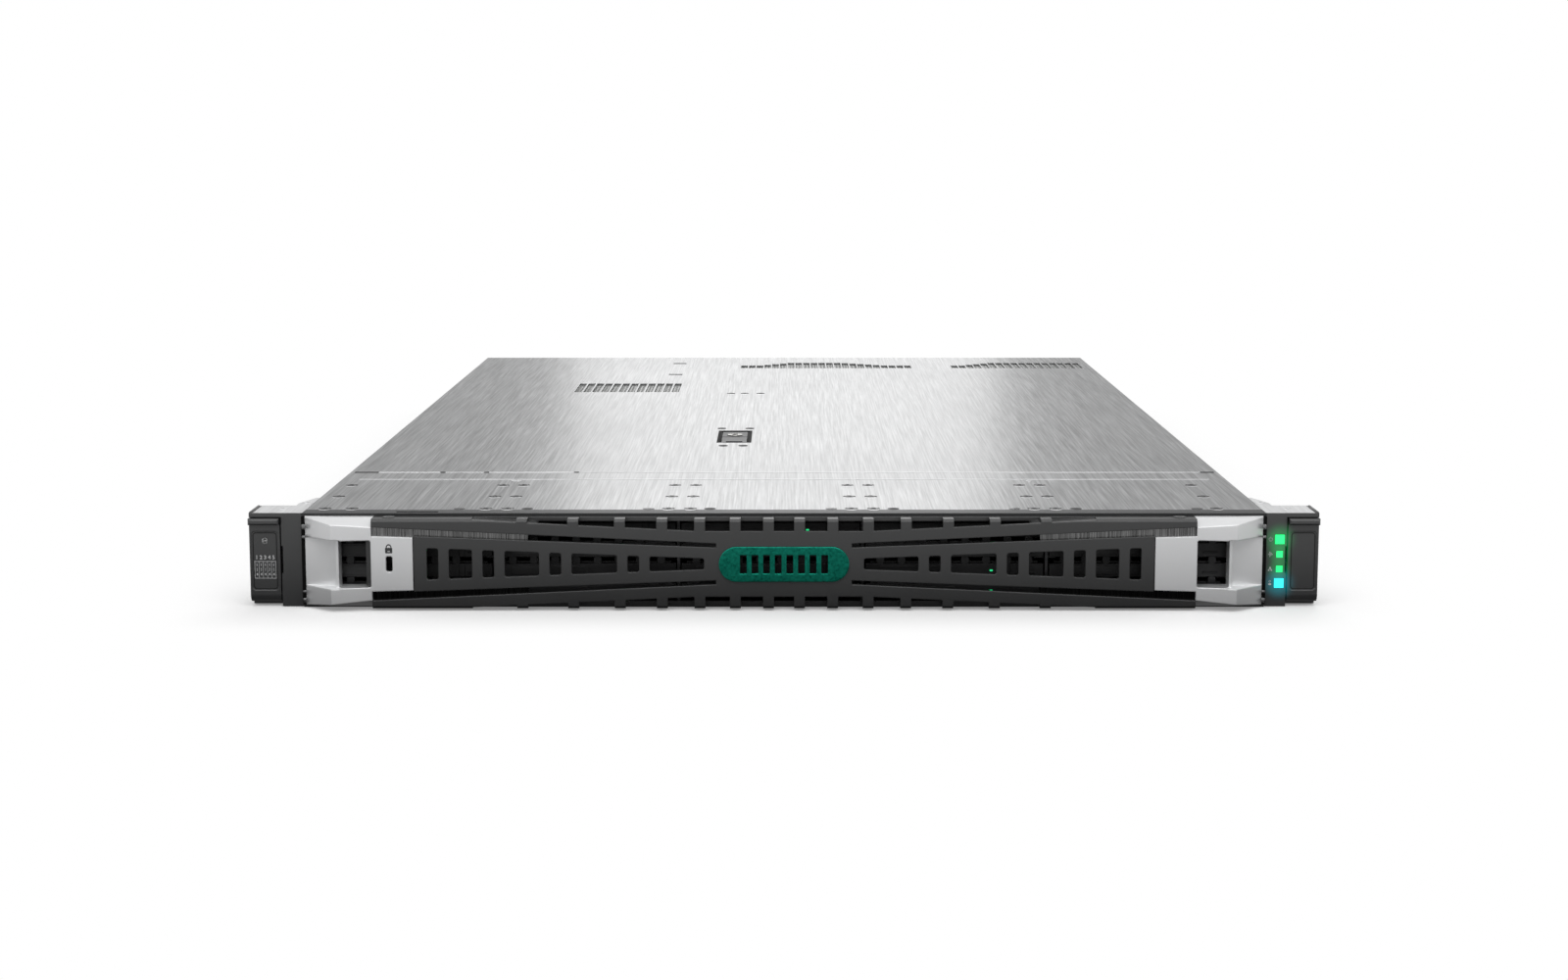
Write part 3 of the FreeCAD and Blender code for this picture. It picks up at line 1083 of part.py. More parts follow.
def status_button(z):
    """A push button in the right ear, kept in by its collar."""
    x = EAR_INNER + STATUS_X
    y0 = EAR_FACE - BUTTON_PROUD
    cap = rect_y(x, z, BUTTON_SIZE, BUTTON_SIZE, y0, y0 + BUTTON_LENGTH)
    back_of_wall = EAR_FACE + EAR_WALL
    collar = rect_y(x, z, BUTTON_SIZE, BUTTON_SIZE + 2 * BUTTON_COLLAR, back_of_wall + FIT,
                    back_of_wall + FIT + 1)
    return fuse([cap, collar])


def status_lights():
    """Light pipes of the two status lamps, seated in the ear's wall."""
    x = EAR_INNER + STATUS_X
    return group([rect_y(x, z, LIGHT_SIZE, LIGHT_SIZE, EAR_FACE - 0.1, EAR_FACE + EAR_WALL + 1.5) for z in LIGHT_Z])


def status_board():
    """Small board behind the right ear's column, with the two switches."""
    x = EAR_INNER + STATUS_X
    y = EAR_FACE - BUTTON_PROUD + BUTTON_LENGTH + BUTTON_TRAVEL + 1.4
    board = box(EAR_INNER + EAR_WALL + 0.1, COLUMN_EDGE - 1.4, y, y + 1.2, EAR_BOTTOM + EAR_WALL,
                CHASSIS_HEIGHT - 3.0)
    switches = [rect_y(x, z, 3.4, 3.4, y - 1.2, y) for z in BUTTON_Z]
    return fuse([board] + switches)


# ---- Bezel ---------------------------------------------------------------------------------------
def both_ways(points):
    """The same outline above and below the middle, and left and right of it."""
    return [[(sx * x, MID_Z + sz * z) for x, z in points] for sx in (-1, 1) for sz in (-1, 1)]


def rail_inner(x):
    """Rail's inner edge above the middle, at a distance from the hub."""
    return RAIL_INNER + RAIL_SLOPE * (x - HUB_HALF)


def arm_half(x):
    """Arm's half height at a distance from the middle."""
    return ARM_HALF + ARM_SLOPE * (x - HUB_HALF)


def rail_slot_outlines():
    """Outlines of the slots along one half of a rail, from the middle outwards, each open at the edge."""
    outlines = []
    edge = BEZEL_HALF + FAR
    x = -RAIL_SLOTS[0] / 2
    for width in RAIL_SLOTS:
        a, b = x, x + width
        floor = [max(rail_inner(abs(v)), rail_inner(HUB_HALF + 8)) + RAIL_BAND for v in (a, b)]
        if min(floor) < BEZEL_HALF - 0.4:
            floor = [min(f, BEZEL_HALF - 0.4) for f in floor]
            outlines.append([(a, floor[0]), (b, floor[1]), (b, edge), (a, edge)])
        x = b + RAIL_RIB
    return outlines


def arm_window_outlines(grow=0.0):
    """Outlines of the windows in the right arm, from its end inwards."""
    outlines = []
    x = ARM_WINDOW_END
    for width in ARM_WINDOWS:
        a, b = x - width - grow, x + grow
        ha, hb = (arm_half(v) - ARM_BORDER + grow for v in (a, b))
        outlines.append([(a, MID_Z - ha), (b, MID_Z - hb), (b, MID_Z + hb), (a, MID_Z + ha)])
        x -= width + ARM_RIB
    return outlines


def bezel_frame():
    """Moulded lattice: two rails, two tapering arms and the hub that joins them."""
    face, back = -BEZEL_FACE, BEZEL_BACK
    top, bottom = MID_Z + BEZEL_HALF, MID_Z - BEZEL_HALF
    inner = [(face + BEZEL_WALL, bottom + BEZEL_WALL), (back + FAR, bottom + BEZEL_WALL),
             (back + FAR, top - BEZEL_WALL), (face + BEZEL_WALL, top - BEZEL_WALL)]
    block = box(-RAIL_END, RAIL_END, face, back, bottom, top)
    long_edges = [e for e in block.Edges if abs(e.CenterOfMass.y - face) < 0.01 and abs(e.CenterOfMass.x) < 0.01]
    channel = cut(block.makeChamfer(BEZEL_BEVEL, long_edges), [prism_x(inner, -RAIL_END - FAR, RAIL_END + FAR)])
    through = (face - FAR, face + BEZEL_WALL + 0.5)
    end = RAIL_END + FAR
    gap = [(HUB_HALF, ARM_HALF), (end, arm_half(end)), (end, rail_inner(end)), (HUB_HALF, RAIL_INNER)]
    tools = [prism_y(outline, *through) for outline in both_ways(gap)]
    plate = [(ARM_END, -arm_half(ARM_END) - 0.5), (end, -arm_half(end) - 0.5),
             (end, arm_half(end) + 0.5), (ARM_END, arm_half(ARM_END) + 0.5)]
    tools += [prism_y([(s * x, MID_Z + z) for x, z in plate], *through) for s in (-1, 1)]
    tools += [prism_y([(s * x, z) for x, z in outline], *through, WINDOW_CORNER)
              for s in (-1, 1) for outline in arm_window_outlines()]
    slots = rail_slot_outlines()
    for sz in (-1, 1):
        for k, outline in enumerate(slots):
            for sx in ((1,) if k == 0 else (-1, 1)):
                tools.append(prism_y([(sx * x, MID_Z + sz * z) for x, z in outline], face - FAR, face + SLOT_BACK))
    tools.append(rect_y(0, MID_Z, *insert_opening(), *through))
    return cut(channel, tools)


def insert_opening():
    """Width and height of the hub's opening for the insert's body."""
    return INSERT_WIDTH - INSERT_HEIGHT, INSERT_HEIGHT - 2 * INSERT_RIM


def insert_outline(width, height, y0, y1):
    """A round-ended prism about the bezel's middle."""
    r = height / 2
    half = width / 2 - r
    bar = box(-half, half, y0, y1, MID_Z - r, MID_Z + r)
    ends = [rod(r, (s * half, y0, MID_Z), (s * half, y1, MID_Z)) for s in (-1, 1)]
    return fuse([bar] + ends)


def hub_insert():
    """Slotted metal vent set in the hub, with a rim on its face and a body in the opening."""
    face = -BEZEL_FACE
    rim = insert_outline(INSERT_WIDTH, INSERT_HEIGHT, face - INSERT_PROUD, face)
    width, height = insert_opening()
    body = rect_y(0, MID_Z, width - FIT, height - FIT, face, face + BEZEL_WALL)
    slots = [rect_y((k - (INSERT_SLOTS - 1) / 2) * INSERT_SLOT_PITCH, MID_Z, INSERT_SLOT, INSERT_SLOT_HEIGHT,
                    face - FAR, face + FAR) for k in range(INSERT_SLOTS)]
    return cut(fuse([rim, body]), slots)


def bezel_backing():
    """Two brushed steel plates behind the ends of the lattice."""
    y0, y1 = BACKING_Y, BACKING_Y + BACKING_THICK
    plate = box(BACKING_START, GRIP_START - FIT, y0, y1, MID_Z - BACKING_HALF, MID_Z + BACKING_HALF)
    windows = [prism_y(outline, y0 - FAR, y1 + FAR) for outline in arm_window_outlines(0.6)]
    well = box(WELL_START, GRIP_START + FAR, y0 - FAR, y1 + FAR,
               MID_Z - SLIDER_HALF - SLIDER_CLEAR, MID_Z + SLIDER_HALF + SLIDER_CLEAR)
    right = cut(plate, windows + [well])
    return group([right, mirror_x(right)])


def grip_section(x, depth, flat, half):
    """A grip's section at x: back, flat top, sloped shoulder and face."""
    back, face = BEZEL_BACK, -depth
    shoulder = back - flat
    z = BEZEL_HALF
    points = [(back, -z), (back, z), (shoulder, z), (face, half), (face, -half), (shoulder, -z)]
    return [Vector(x, y, MID_Z + h) for y, h in points]


def bezel_grip(lock):
    """Right grip: faceted C handle with its scoop and window, and the plate beside it."""
    tip = -BEZEL_BACK + GRIP_TIP_DEPTH
    inner = grip_section(GRIP_START, BEZEL_FACE, GRIP_FLAT, GRIP_INNER_HALF)
    ridge = grip_section(GRIP_RIDGE, GRIP_FACE, GRIP_FLAT, GRIP_RIDGE_HALF)
    end = grip_section(GRIP_END, tip, GRIP_TIP_DEPTH / 2, BEZEL_HALF - GRIP_END_DROP)
    body = flat_faced([inner, ridge, end])
    deep, crease, shallow = (-d for d in SCOOP_DEPTHS)
    far = -GRIP_FACE - FAR
    outline = [Vector(x, y, MID_Z - SCOOP_HALF) for x, y in
               ((SCOOP_START, far), (GRIP_END + FAR, far), (GRIP_END + FAR, shallow), (GRIP_END, shallow),
                (SCOOP_CREASE, crease), (SCOOP_START, deep))]
    scoop = Part.Face(Part.makePolygon(outline + outline[:1])).extrude(Vector(0, 0, 2 * SCOOP_HALF))
    mouth = box(GRIP_WINDOW_END - 1, SCOOP_START + 1, far, -BEZEL_FACE + BEZEL_WALL,
                MID_Z - SCOOP_HALF, MID_Z + SCOOP_HALF)
    window = rect_y((GRIP_WINDOW_START + GRIP_WINDOW_END) / 2, MID_Z, GRIP_WINDOW_END - GRIP_WINDOW_START,
                    2 * GRIP_WINDOW_HALF, far, BEZEL_BACK + FAR, WINDOW_CORNER)
    behind = box(GRIP_START - FAR, GRIP_WINDOW_END, BACKING_Y, BEZEL_BACK + FAR,
                 MID_Z - GRIP_WINDOW_HALF - 0.2, MID_Z + GRIP_WINDOW_HALF + 0.2)
    pockets = [box(GRIP_START + 2, GRIP_RIDGE, -BEZEL_FACE + 3, BEZEL_BACK + FAR, z - 2, z + 2)
               for z in (MID_Z - 15, MID_Z + 15)]
    plate = prism_y([(PLATE_START, MID_Z - PLATE_INNER_HALF), (GRIP_START + 1, MID_Z - PLATE_OUTER_HALF),
                     (GRIP_START + 1, MID_Z + PLATE_OUTER_HALF), (PLATE_START, MID_Z + PLATE_INNER_HALF)],
                    -BEZEL_FACE, -BEZEL_FACE + BEZEL_WALL)
    tools = [scoop, mouth, window, behind] + pockets
    if lock:
        tools.append(rect_y(LOCK_X, MID_Z, LOCK_WIDTH, LOCK_HEIGHT, far, BEZEL_BACK, WINDOW_CORNER))
    return cut(fuse([body, plate]), tools)


def bezel_latch():
    """Slider behind the left grip's plate, with a slot that lines up with the lock slot."""
    y0 = BACKING_Y + SLIDER_CLEAR
    start, end = -(GRIP_WINDOW_START + SLIDER_SHOW), -SLIDER_START
    block = box(start, end, y0, y0 + SLIDER_THICK, MID_Z - SLIDER_HALF, MID_Z + SLIDER_HALF)
    lock_slot = rect_y(-LOCK_X, MID_Z, LOCK_WIDTH + 2 * SLIDER_CLEAR, LOCK_HEIGHT + 2 * SLIDER_CLEAR,
                       y0 - FAR, y0 + SLIDER_THICK + FAR)
    return cut(block, [lock_slot])


# ---- The pieces ----------------------------------------------------------------------------------
def pieces():
    """Every node's name and shape."""
    made = {
        "chassis_tray": chassis_tray(),
        "rear_panel": rear_panel(),
        "front_frame": front_frame(),
        "front_top_panel": front_top_panel(),
        "access_cover": access_cover(),
        "cover_latch_tray": cover_latch_tray(),
        "cover_latch_lever": cover_latch_lever(),
        "rail_studs": rail_studs(),
        "drive_cage": drive_cage(),
        "drive_backplane": drive_backplane(),
        "system_board": system_board(),
        "processors": processors(),
        "memory_sockets": memory_sockets(),
        "memory_modules": memory_modules(),
        "cpu_heatsink_left": cpu_heatsink(-1),
        "cpu_heatsink_right": cpu_heatsink(1),
        "psu_connector_board": psu_connector_board(),
        "riser_cage_left": riser_cage(0),
        "riser_cage_right": riser_cage(1),
        "riser_boards": riser_boards(),
        "slot_blanks": slot_blanks(),
        "network_adapter": network_adapter(),
        "mezzanine_blank": mezzanine_blank(),
        "rear_ports": rear_ports(),
        "right_ear_bracket": ear_bracket(),
        "left_ear_bracket": mirror_x(ear_bracket()),
        "right_ear_cover": ear_cover(True),
        "left_ear_cover": mirror_x(ear_cover(False)),
        "right_ear_lever": ear_lever(),
        "left_ear_lever": mirror_x(ear_lever()),
        "rack_screws": rack_screws(),
        "locator_button": status_button(BUTTON_Z[0]),
        "power_button": status_button(BUTTON_Z[1]),
        "status_lights": status_lights(),
        "status_board": status_board(),
        "bezel_frame": bezel_frame(),
        "bezel_backing": bezel_backing(),
        "bezel_grip_left": mirror_x(bezel_grip(True)),
        "bezel_grip_right": bezel_grip(False),
        "bezel_hub_insert": hub_insert(),
        "bezel_latch": bezel_latch(),
        "fan_frames": group([fan_frame(k) for k in range(FAN_COUNT)]),
    }
    for k in range(BOX_COUNT):
        made[f"drives_box_{k + 1}"] = drive_box(k)
    for k in range(FAN_COUNT):
        made[f"fan_rotor_{k + 1}"] = fan_rotor(k)
    for k, side in enumerate(("left", "right")):
        made[f"psu_{side}"] = psu(k)
        made[f"psu_handle_{side}"] = psu_handle(k)
        made[f"psu_release_{side}"] = psu_release(k)
    return made


def main():
    os.makedirs("parts", exist_ok=True)
    for name, shape in pieces().items():
        shape.exportStep(f"parts/{name}.step")
        state = "valid" if shape.isValid() else "INVALID"
        print(name, len(shape.Solids), "solids", round(shape.Volume), "mm3", state)


main()
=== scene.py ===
"""Finishes and fine pieces of a 1U rack server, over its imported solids. Metres, same frame as the solids."""
import math

import bpy
from mathutils import Matrix, Vector


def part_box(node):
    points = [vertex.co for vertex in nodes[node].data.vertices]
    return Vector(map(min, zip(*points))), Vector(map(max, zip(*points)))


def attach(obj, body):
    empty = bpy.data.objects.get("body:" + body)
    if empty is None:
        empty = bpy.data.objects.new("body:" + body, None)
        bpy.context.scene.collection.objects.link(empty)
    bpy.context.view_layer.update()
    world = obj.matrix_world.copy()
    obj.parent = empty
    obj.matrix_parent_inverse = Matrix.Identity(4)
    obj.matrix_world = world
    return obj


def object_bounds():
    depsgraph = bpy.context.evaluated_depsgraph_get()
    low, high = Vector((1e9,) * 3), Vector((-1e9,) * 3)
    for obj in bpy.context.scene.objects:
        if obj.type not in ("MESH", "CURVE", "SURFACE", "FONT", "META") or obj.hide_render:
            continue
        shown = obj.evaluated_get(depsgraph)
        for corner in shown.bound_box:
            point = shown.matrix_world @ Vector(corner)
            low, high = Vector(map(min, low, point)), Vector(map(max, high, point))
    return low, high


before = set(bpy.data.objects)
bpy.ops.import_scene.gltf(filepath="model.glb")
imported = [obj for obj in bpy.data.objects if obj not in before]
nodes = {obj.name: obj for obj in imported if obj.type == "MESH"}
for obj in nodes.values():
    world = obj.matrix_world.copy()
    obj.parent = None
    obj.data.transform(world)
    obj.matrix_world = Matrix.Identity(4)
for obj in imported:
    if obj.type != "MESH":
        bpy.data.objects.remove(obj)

cad_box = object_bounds()
MM = 0.001


# ---- Chassis: tray, rear panel and cover sheets ----------------------------------------------------------
# Zinc-coated sheet steel, folded and riveted, with the rolling grain running from front to back.
# Every bend and sheared edge is slightly rounded, and the coating is a little brighter there.
def shader_node(tree, kind, inputs=None, **settings):
    """A node with its settings made, and each input either linked or given its value."""
    made = tree.nodes.new("ShaderNode" + kind)
    for key, value in settings.items():
        setattr(made, key, value)
    for key, value in (inputs or {}).items():
        if isinstance(value, bpy.types.NodeSocket):
            tree.links.new(value, made.inputs[key])
        else:
            made.inputs[key].default_value = value
    return made


def effect(name, takes, gives):
    """An empty node group, the numbers that it takes and the sockets that it gives."""
    tree = bpy.data.node_groups.new(name, "ShaderNodeTree")
    for label, value in takes.items():
        tree.interface.new_socket(label, in_out="INPUT", socket_type="NodeSocketFloat").default_value = value
    for label, kind in gives.items():
        tree.interface.new_socket(label, in_out="OUTPUT", socket_type="NodeSocket" + kind)
    return tree, tree.nodes.new("NodeGroupInput").outputs, tree.nodes.new("NodeGroupOutput").inputs


def make_drawn_grain():
    """Fine lines drawn along one axis, with broad soft patches: Tone and Relief about 0.5, Patch 0 to 1."""
    tree, takes, gives = effect("drawn_grain", {"X": 900.0, "Y": 14.0, "Z": 900.0, "Patch Scale": 9.0},
                                {"Tone": "Float", "Relief": "Float", "Patch": "Float"})
    place = shader_node(tree, "TexCoord").outputs["Object"]
    pitch = shader_node(tree, "CombineXYZ", {"X": takes["X"], "Y": takes["Y"], "Z": takes["Z"]})
    along = shader_node(tree, "VectorMath", {0: place, 1: pitch.outputs[0]}, operation="MULTIPLY")
    lines = shader_node(tree, "TexNoise",
                        {"Vector": along.outputs[0], "Scale": 1.0, "Detail": 4.0, "Roughness": 0.65})
    patch = shader_node(tree, "TexNoise", {"Vector": place, "Scale": takes["Patch Scale"], "Detail": 2.0})
    crisp = shader_node(tree, "MapRange", {"Value": lines.outputs["Fac"], 1: 0.34, 2: 0.66, 3: 0.0, 4: 1.0})
    tree.links.new(crisp.outputs[0], gives["Tone"])
    tree.links.new(lines.outputs["Fac"], gives["Relief"])
    tree.links.new(patch.outputs["Fac"], gives["Patch"])
    return tree


def make_rounded_edges():
    """Surface normal with small rounded edges and a relief laid on top."""
    tree, takes, gives = effect("rounded_edges", {"Radius": 0.0004, "Relief": 0.5, "Depth": 0.00002},
                                {"Normal": "Vector"})
    rounded = shader_node(tree, "Bevel", {"Radius": takes["Radius"]}, samples=4)
    bump = shader_node(tree, "Bump", {"Height": takes["Relief"], "Distance": takes["Depth"],
                                      "Normal": rounded.outputs[0]})
    tree.links.new(bump.outputs[0], gives["Normal"])
    return tree


def make_edge_wear():
    """Mask of sharp edges, broken up as handling leaves them: 0 on flats, up to 1 on worn edges."""
    tree, takes, gives = effect("edge_wear", {"Width": 0.0006, "Amount": 1.0, "Break Up": 260.0},
                                {"Mask": "Float"})
    rounded = shader_node(tree, "Bevel", {"Radius": takes["Width"]}, samples=4)
    flat = shader_node(tree, "NewGeometry").outputs["Normal"]
    same = shader_node(tree, "VectorMath", {0: rounded.outputs[0], 1: flat}, operation="DOT_PRODUCT")
    edge = shader_node(tree, "MapRange", {"Value": same.outputs["Value"], 1: 0.995, 2: 0.86, 3: 0.0, 4: 1.0})
    place = shader_node(tree, "TexCoord").outputs["Object"]
    specks = shader_node(tree, "TexNoise", {"Vector": place, "Scale": takes["Break Up"], "Detail": 3.0})
    rub = shader_node(tree, "MapRange", {"Value": specks.outputs["Fac"], 1: 0.35, 2: 0.6, 3: 0.25, 4: 1.0})
    both = shader_node(tree, "Math", {0: edge.outputs[0], 1: rub.outputs[0]}, operation="MULTIPLY")
    out = shader_node(tree, "Math", {0: both.outputs[0], 1: takes["Amount"]}, operation="MULTIPLY",
                      use_clamp=True)
    tree.links.new(out.outputs[0], gives["Mask"])
    return tree


drawn_grain = make_drawn_grain()
rounded_edges = make_rounded_edges()
edge_wear = make_edge_wear()


def new_material(name):
    """A new finish, its node tree and its surface node."""
    made = bpy.data.materials.new(name)
    made.use_nodes = True
    tree = made.node_tree
    return made, tree, tree.nodes["Principled BSDF"]


def use_effect(tree, group, **values):
    """A node group put to use in a finish, with its inputs linked or given their values."""
    made = tree.nodes.new("ShaderNodeGroup")
    made.node_tree = group
    for key, value in values.items():
        socket = made.inputs[key.replace("_", " ")]
        if isinstance(value, bpy.types.NodeSocket):
            tree.links.new(value, socket)
        else:
            socket.default_value = value
    return made.outputs


def between(tree, factor, low, high):
    """A colour or a number that follows a mask from low to high."""
    if isinstance(low, tuple):
        ramp = shader_node(tree, "Mix", data_type="RGBA")
        tree.links.new(factor, ramp.inputs[0])
        ramp.inputs[6].default_value = (*low, 1)
        ramp.inputs[7].default_value = (*high, 1)
        return ramp.outputs[2]
    return shader_node(tree, "MapRange", {"Value": factor, 1: 0.0, 2: 1.0, 3: low, 4: high}).outputs[0]


def worn_edges(tree, plain, worn, width, amount):
    """The plain colour, turning to the worn one along handled edges."""
    mask = use_effect(tree, edge_wear, Width=width, Amount=amount)["Mask"]
    mixed = shader_node(tree, "Mix", {0: mask, 6: plain}, data_type="RGBA")
    mixed.inputs[7].default_value = (*worn, 1)
    return mixed.outputs[2]


def relieved(tree, bsdf, radius, relief, depth):
    """Gives a finish small rounded edges and the relief of its skin."""
    normal = use_effect(tree, rounded_edges, Radius=radius, Relief=relief, Depth=depth)["Normal"]
    tree.links.new(normal, bsdf.inputs["Normal"])


def sheet_metal(name, dark, light, rough=(0.27, 0.42), metallic=1.0, grain=(900.0, 14.0, 900.0), edge=0.0004,
                wear=0.5):
    """Drawn or cast metal: dark to light over its grain, and brighter along its edges."""
    made, tree, bsdf = new_material(name)
    drawn = use_effect(tree, drawn_grain, X=grain[0], Y=grain[1], Z=grain[2])
    lines = between(tree, drawn["Tone"], dark, light)
    bright = [min(1.0, c * 1.35) for c in light]
    tree.links.new(worn_edges(tree, lines, bright, edge * 1.3, wear), bsdf.inputs["Base Color"])
    spread = shader_node(tree, "Math", {0: drawn["Patch"], 1: drawn["Tone"], 2: 0.1},
                         operation="MULTIPLY_ADD")
    tree.links.new(between(tree, spread.outputs[0], *rough), bsdf.inputs["Roughness"])
    bsdf.inputs["Metallic"].default_value = metallic
    relieved(tree, bsdf, edge, drawn["Relief"], 0.000012)
    return made


def dress(material, *names):
    """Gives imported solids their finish."""
    for name in names:
        for place in nodes[name].material_slots:
            place.material = material


EVEN_GRAIN = (900.0, 900.0, 900.0)
zinc_sheet = sheet_metal("zinc_sheet", (0.34, 0.344, 0.348), (0.58, 0.585, 0.59))
dress(zinc_sheet, "chassis_tray", "rear_panel")
# The two top sheets are the same zinc-coated steel, given a darker colour than the tray: a painted shade of
# the top.
shaded_top_sheet = sheet_metal("shaded_top_sheet", (0.20, 0.2025, 0.205), (0.50, 0.504, 0.508), rough=(0.27, 0.38),
                        grain=(1100.0, 16.0, 1100.0))
dress(shaded_top_sheet, "front_top_panel", "access_cover")


# ---- Front frame and drive cage ------------------------------------------------------------------------
# The frame round the drive bays is steel with dark satin paint, rubbed a little along its edges.
# The cage inside it is bare rolled sheet.
def make_paint_skin():
    """Orange-peel and faint specks of a sprayed or moulded skin: Tone about 0.5 and Relief."""
    tree, takes, gives = effect("paint_skin", {"Grain": 2600.0, "Cloud": 30.0},
                                {"Tone": "Float", "Relief": "Float"})
    place = shader_node(tree, "TexCoord").outputs["Object"]
    fine = shader_node(tree, "TexNoise", {"Vector": place, "Scale": takes["Grain"], "Detail": 2.0})
    cloud = shader_node(tree, "TexNoise", {"Vector": place, "Scale": takes["Cloud"], "Detail": 3.0})
    mixed = shader_node(tree, "Math", {0: fine.outputs["Fac"], 1: cloud.outputs["Fac"]}, operation="ADD")
    half = shader_node(tree, "Math", {0: mixed.outputs[0], 1: 0.5}, operation="MULTIPLY")
    tree.links.new(half.outputs[0], gives["Tone"])
    tree.links.new(fine.outputs["Fac"], gives["Relief"])
    return tree


paint_skin = make_paint_skin()


def skinned(name, dark, light, rough=(0.38, 0.55), metallic=0.0, grain=2600.0, depth=0.00003, edge=0.0005,
            wear=0.35, coat=0.0, shine=0.5):
    """Moulded plastic or paint: dark to light over its fine skin, and rubbed along its edges."""
    made, tree, bsdf = new_material(name)
    skin = use_effect(tree, paint_skin, Grain=grain)
    plain = between(tree, skin["Tone"], dark, light)
    rubbed = [min(1.0, c * 1.8) for c in light]
    tree.links.new(worn_edges(tree, plain, rubbed, edge * 1.3, wear), bsdf.inputs["Base Color"])
    tree.links.new(between(tree, skin["Tone"], *rough), bsdf.inputs["Roughness"])
    bsdf.inputs["Metallic"].default_value = metallic
    bsdf.inputs["Coat Weight"].default_value = coat
    bsdf.inputs["Specular IOR Level"].default_value = shine
    relieved(tree, bsdf, edge, skin["Relief"], depth)
    return made


frame_paint = skinned("frame_paint", (0.018, 0.0185, 0.019), (0.036, 0.037, 0.038), rough=(0.34, 0.5),
                      shine=0.25)
cage_sheet = sheet_metal("cage_sheet", (0.05, 0.05, 0.051), (0.12, 0.12, 0.123), rough=(0.4, 0.6), wear=0.2)
dress(frame_paint, "front_frame")
dress(cage_sheet, "drive_cage")


# ---- Formed buttons, seams and rivets of the top ---------------------------------------------------------
# Half-sheared buttons and rivets join the top sheets to the frame, and a pressed bead stiffens the front one.
# Each button is the sheet itself, pushed to a ring with a dish; the seams are the folded lips of the sheets.
TOP_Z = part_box("front_top_panel")[1].z
COVER_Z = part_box("access_cover")[1].z


def mm(*numbers):
    """A place or a size in millimetres, turned to the frame's metres."""
    return Vector([number * MM for number in numbers])


def alone():
    """Deselects everything before a piece is added or joined."""
    bpy.ops.object.select_all(action="DESELECT")


def taken(name):
    """The piece just added, named, with its place settled in its mesh."""
    piece = bpy.context.object
    piece.name = piece.data.name = name
    bpy.ops.object.transform_apply(location=True, rotation=True, scale=True)
    return piece


def pick(piece, test, kind="FACE"):
    """Leaves only the faces or edges whose middle and direction pass the test selected, in edit mode."""
    bpy.ops.object.mode_set(mode="OBJECT")
    bpy.context.tool_settings.mesh_select_mode = (False, kind == "EDGE", kind == "FACE")
    mesh = piece.data
    for part in (*mesh.vertices, *mesh.edges, *mesh.polygons):
        part.select = False
    if kind == "FACE":
        for face in mesh.polygons:
            face.select = test(face.center, face.normal)
    else:
        for edge in mesh.edges:
            a, b = [mesh.vertices[k].co for k in edge.vertices]
            edge.select = test((a + b) / 2, (b - a).normalized())
    bpy.ops.object.mode_set(mode="EDIT")


def round_edges(piece, test, offset, segments=2):
    """Rounds the edges whose middle and direction pass the test, and stays in edit mode."""
    pick(piece, test, "EDGE")
    bpy.ops.mesh.bevel(offset=offset, segments=segments, affect="EDGES")


def step_faces(steps, along=(0, 0, 1)):
    """Insets the selected faces by each step's millimetres, and then moves them along a direction."""
    for inset, rise in steps:
        bpy.ops.mesh.inset(thickness=inset * MM)
        if rise:
            bpy.ops.transform.translate(value=Vector(along) * rise * MM)


def cuboid(name, low, high):
    """A plain box between two corners, and its size."""
    alone()
    size = [b - a for a, b in zip(low, high)]
    bpy.ops.mesh.primitive_cube_add(size=1, location=[(a + b) / 2 for a, b in zip(low, high)], scale=size)
    return taken(name), size


def disc(name, radius, depth, place=(0, 0, 0), sides=28, turn=(0, 0, 0)):
    """A plain round of so many sides, its radius and depth in millimetres, its turn in degrees."""
    alone()
    bpy.ops.mesh.primitive_cylinder_add(vertices=sides, radius=radius * MM, depth=depth * MM, location=place,
                                        rotation=[math.radians(angle) for angle in turn])
    return taken(name)


def finished(piece, material, body, smooth=40):
    """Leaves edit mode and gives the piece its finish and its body."""
    if bpy.context.object and bpy.context.object.mode == "EDIT":
        bpy.ops.object.mode_set(mode="OBJECT")
    alone()
    piece.select_set(True)
    bpy.context.view_layer.objects.active = piece
    bpy.ops.object.shade_smooth_by_angle(angle=math.radians(smooth))
    piece.data.materials.clear()
    piece.data.materials.append(material)
    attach(piece, body)
    return piece


def gathered(pieces, name, body):
    """Several pieces as one mesh, named and hung on its body."""
    alone()
    for piece in pieces:
        piece.select_set(True)
    bpy.context.view_layer.objects.active = pieces[0]
    bpy.ops.object.join()
    whole = bpy.context.object
    whole.name = whole.data.name = name
    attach(whole, body)
    return whole


def row_of(first, name, places, body):
    """The first piece, modelled at the origin, repeated at every place and gathered into one mesh."""
    twins = []
    for place in places:
        twin = first.copy()
        twin.data = first.data.copy()
        bpy.context.scene.collection.objects.link(twin)
        twin.data.transform(Matrix.Translation(place))
        twins.append(twin)
    bpy.data.objects.remove(first)
    return gathered(twins, name, body)


def block(name, low, high, material, body, bevel=0.2, segments=2):
    """A box between two corners with rounded edges, the bevel in millimetres."""
    piece, size = cuboid(name, low, high)
    round_edges(piece, lambda place, way: True, min(bevel * MM, min(size) * 0.45), segments)
    return finished(piece, material, body)


def button(radius, height, dish, material, sides=20):
    """A round pressing in millimetres: a raised ring round a dished middle, made at the origin."""
    piece = disc("pressing", radius, height, mm(0, 0, height / 2 - 0.1), sides)
    pick(piece, lambda place, way: way.z > 0.9)
    step_faces(((radius * 0.22, height * 0.25), (radius * 0.2, 0), (radius * 0.22, -dish),
                (radius * 0.15, 0)))
    return finished(piece, material, "chassis", smooth=60)


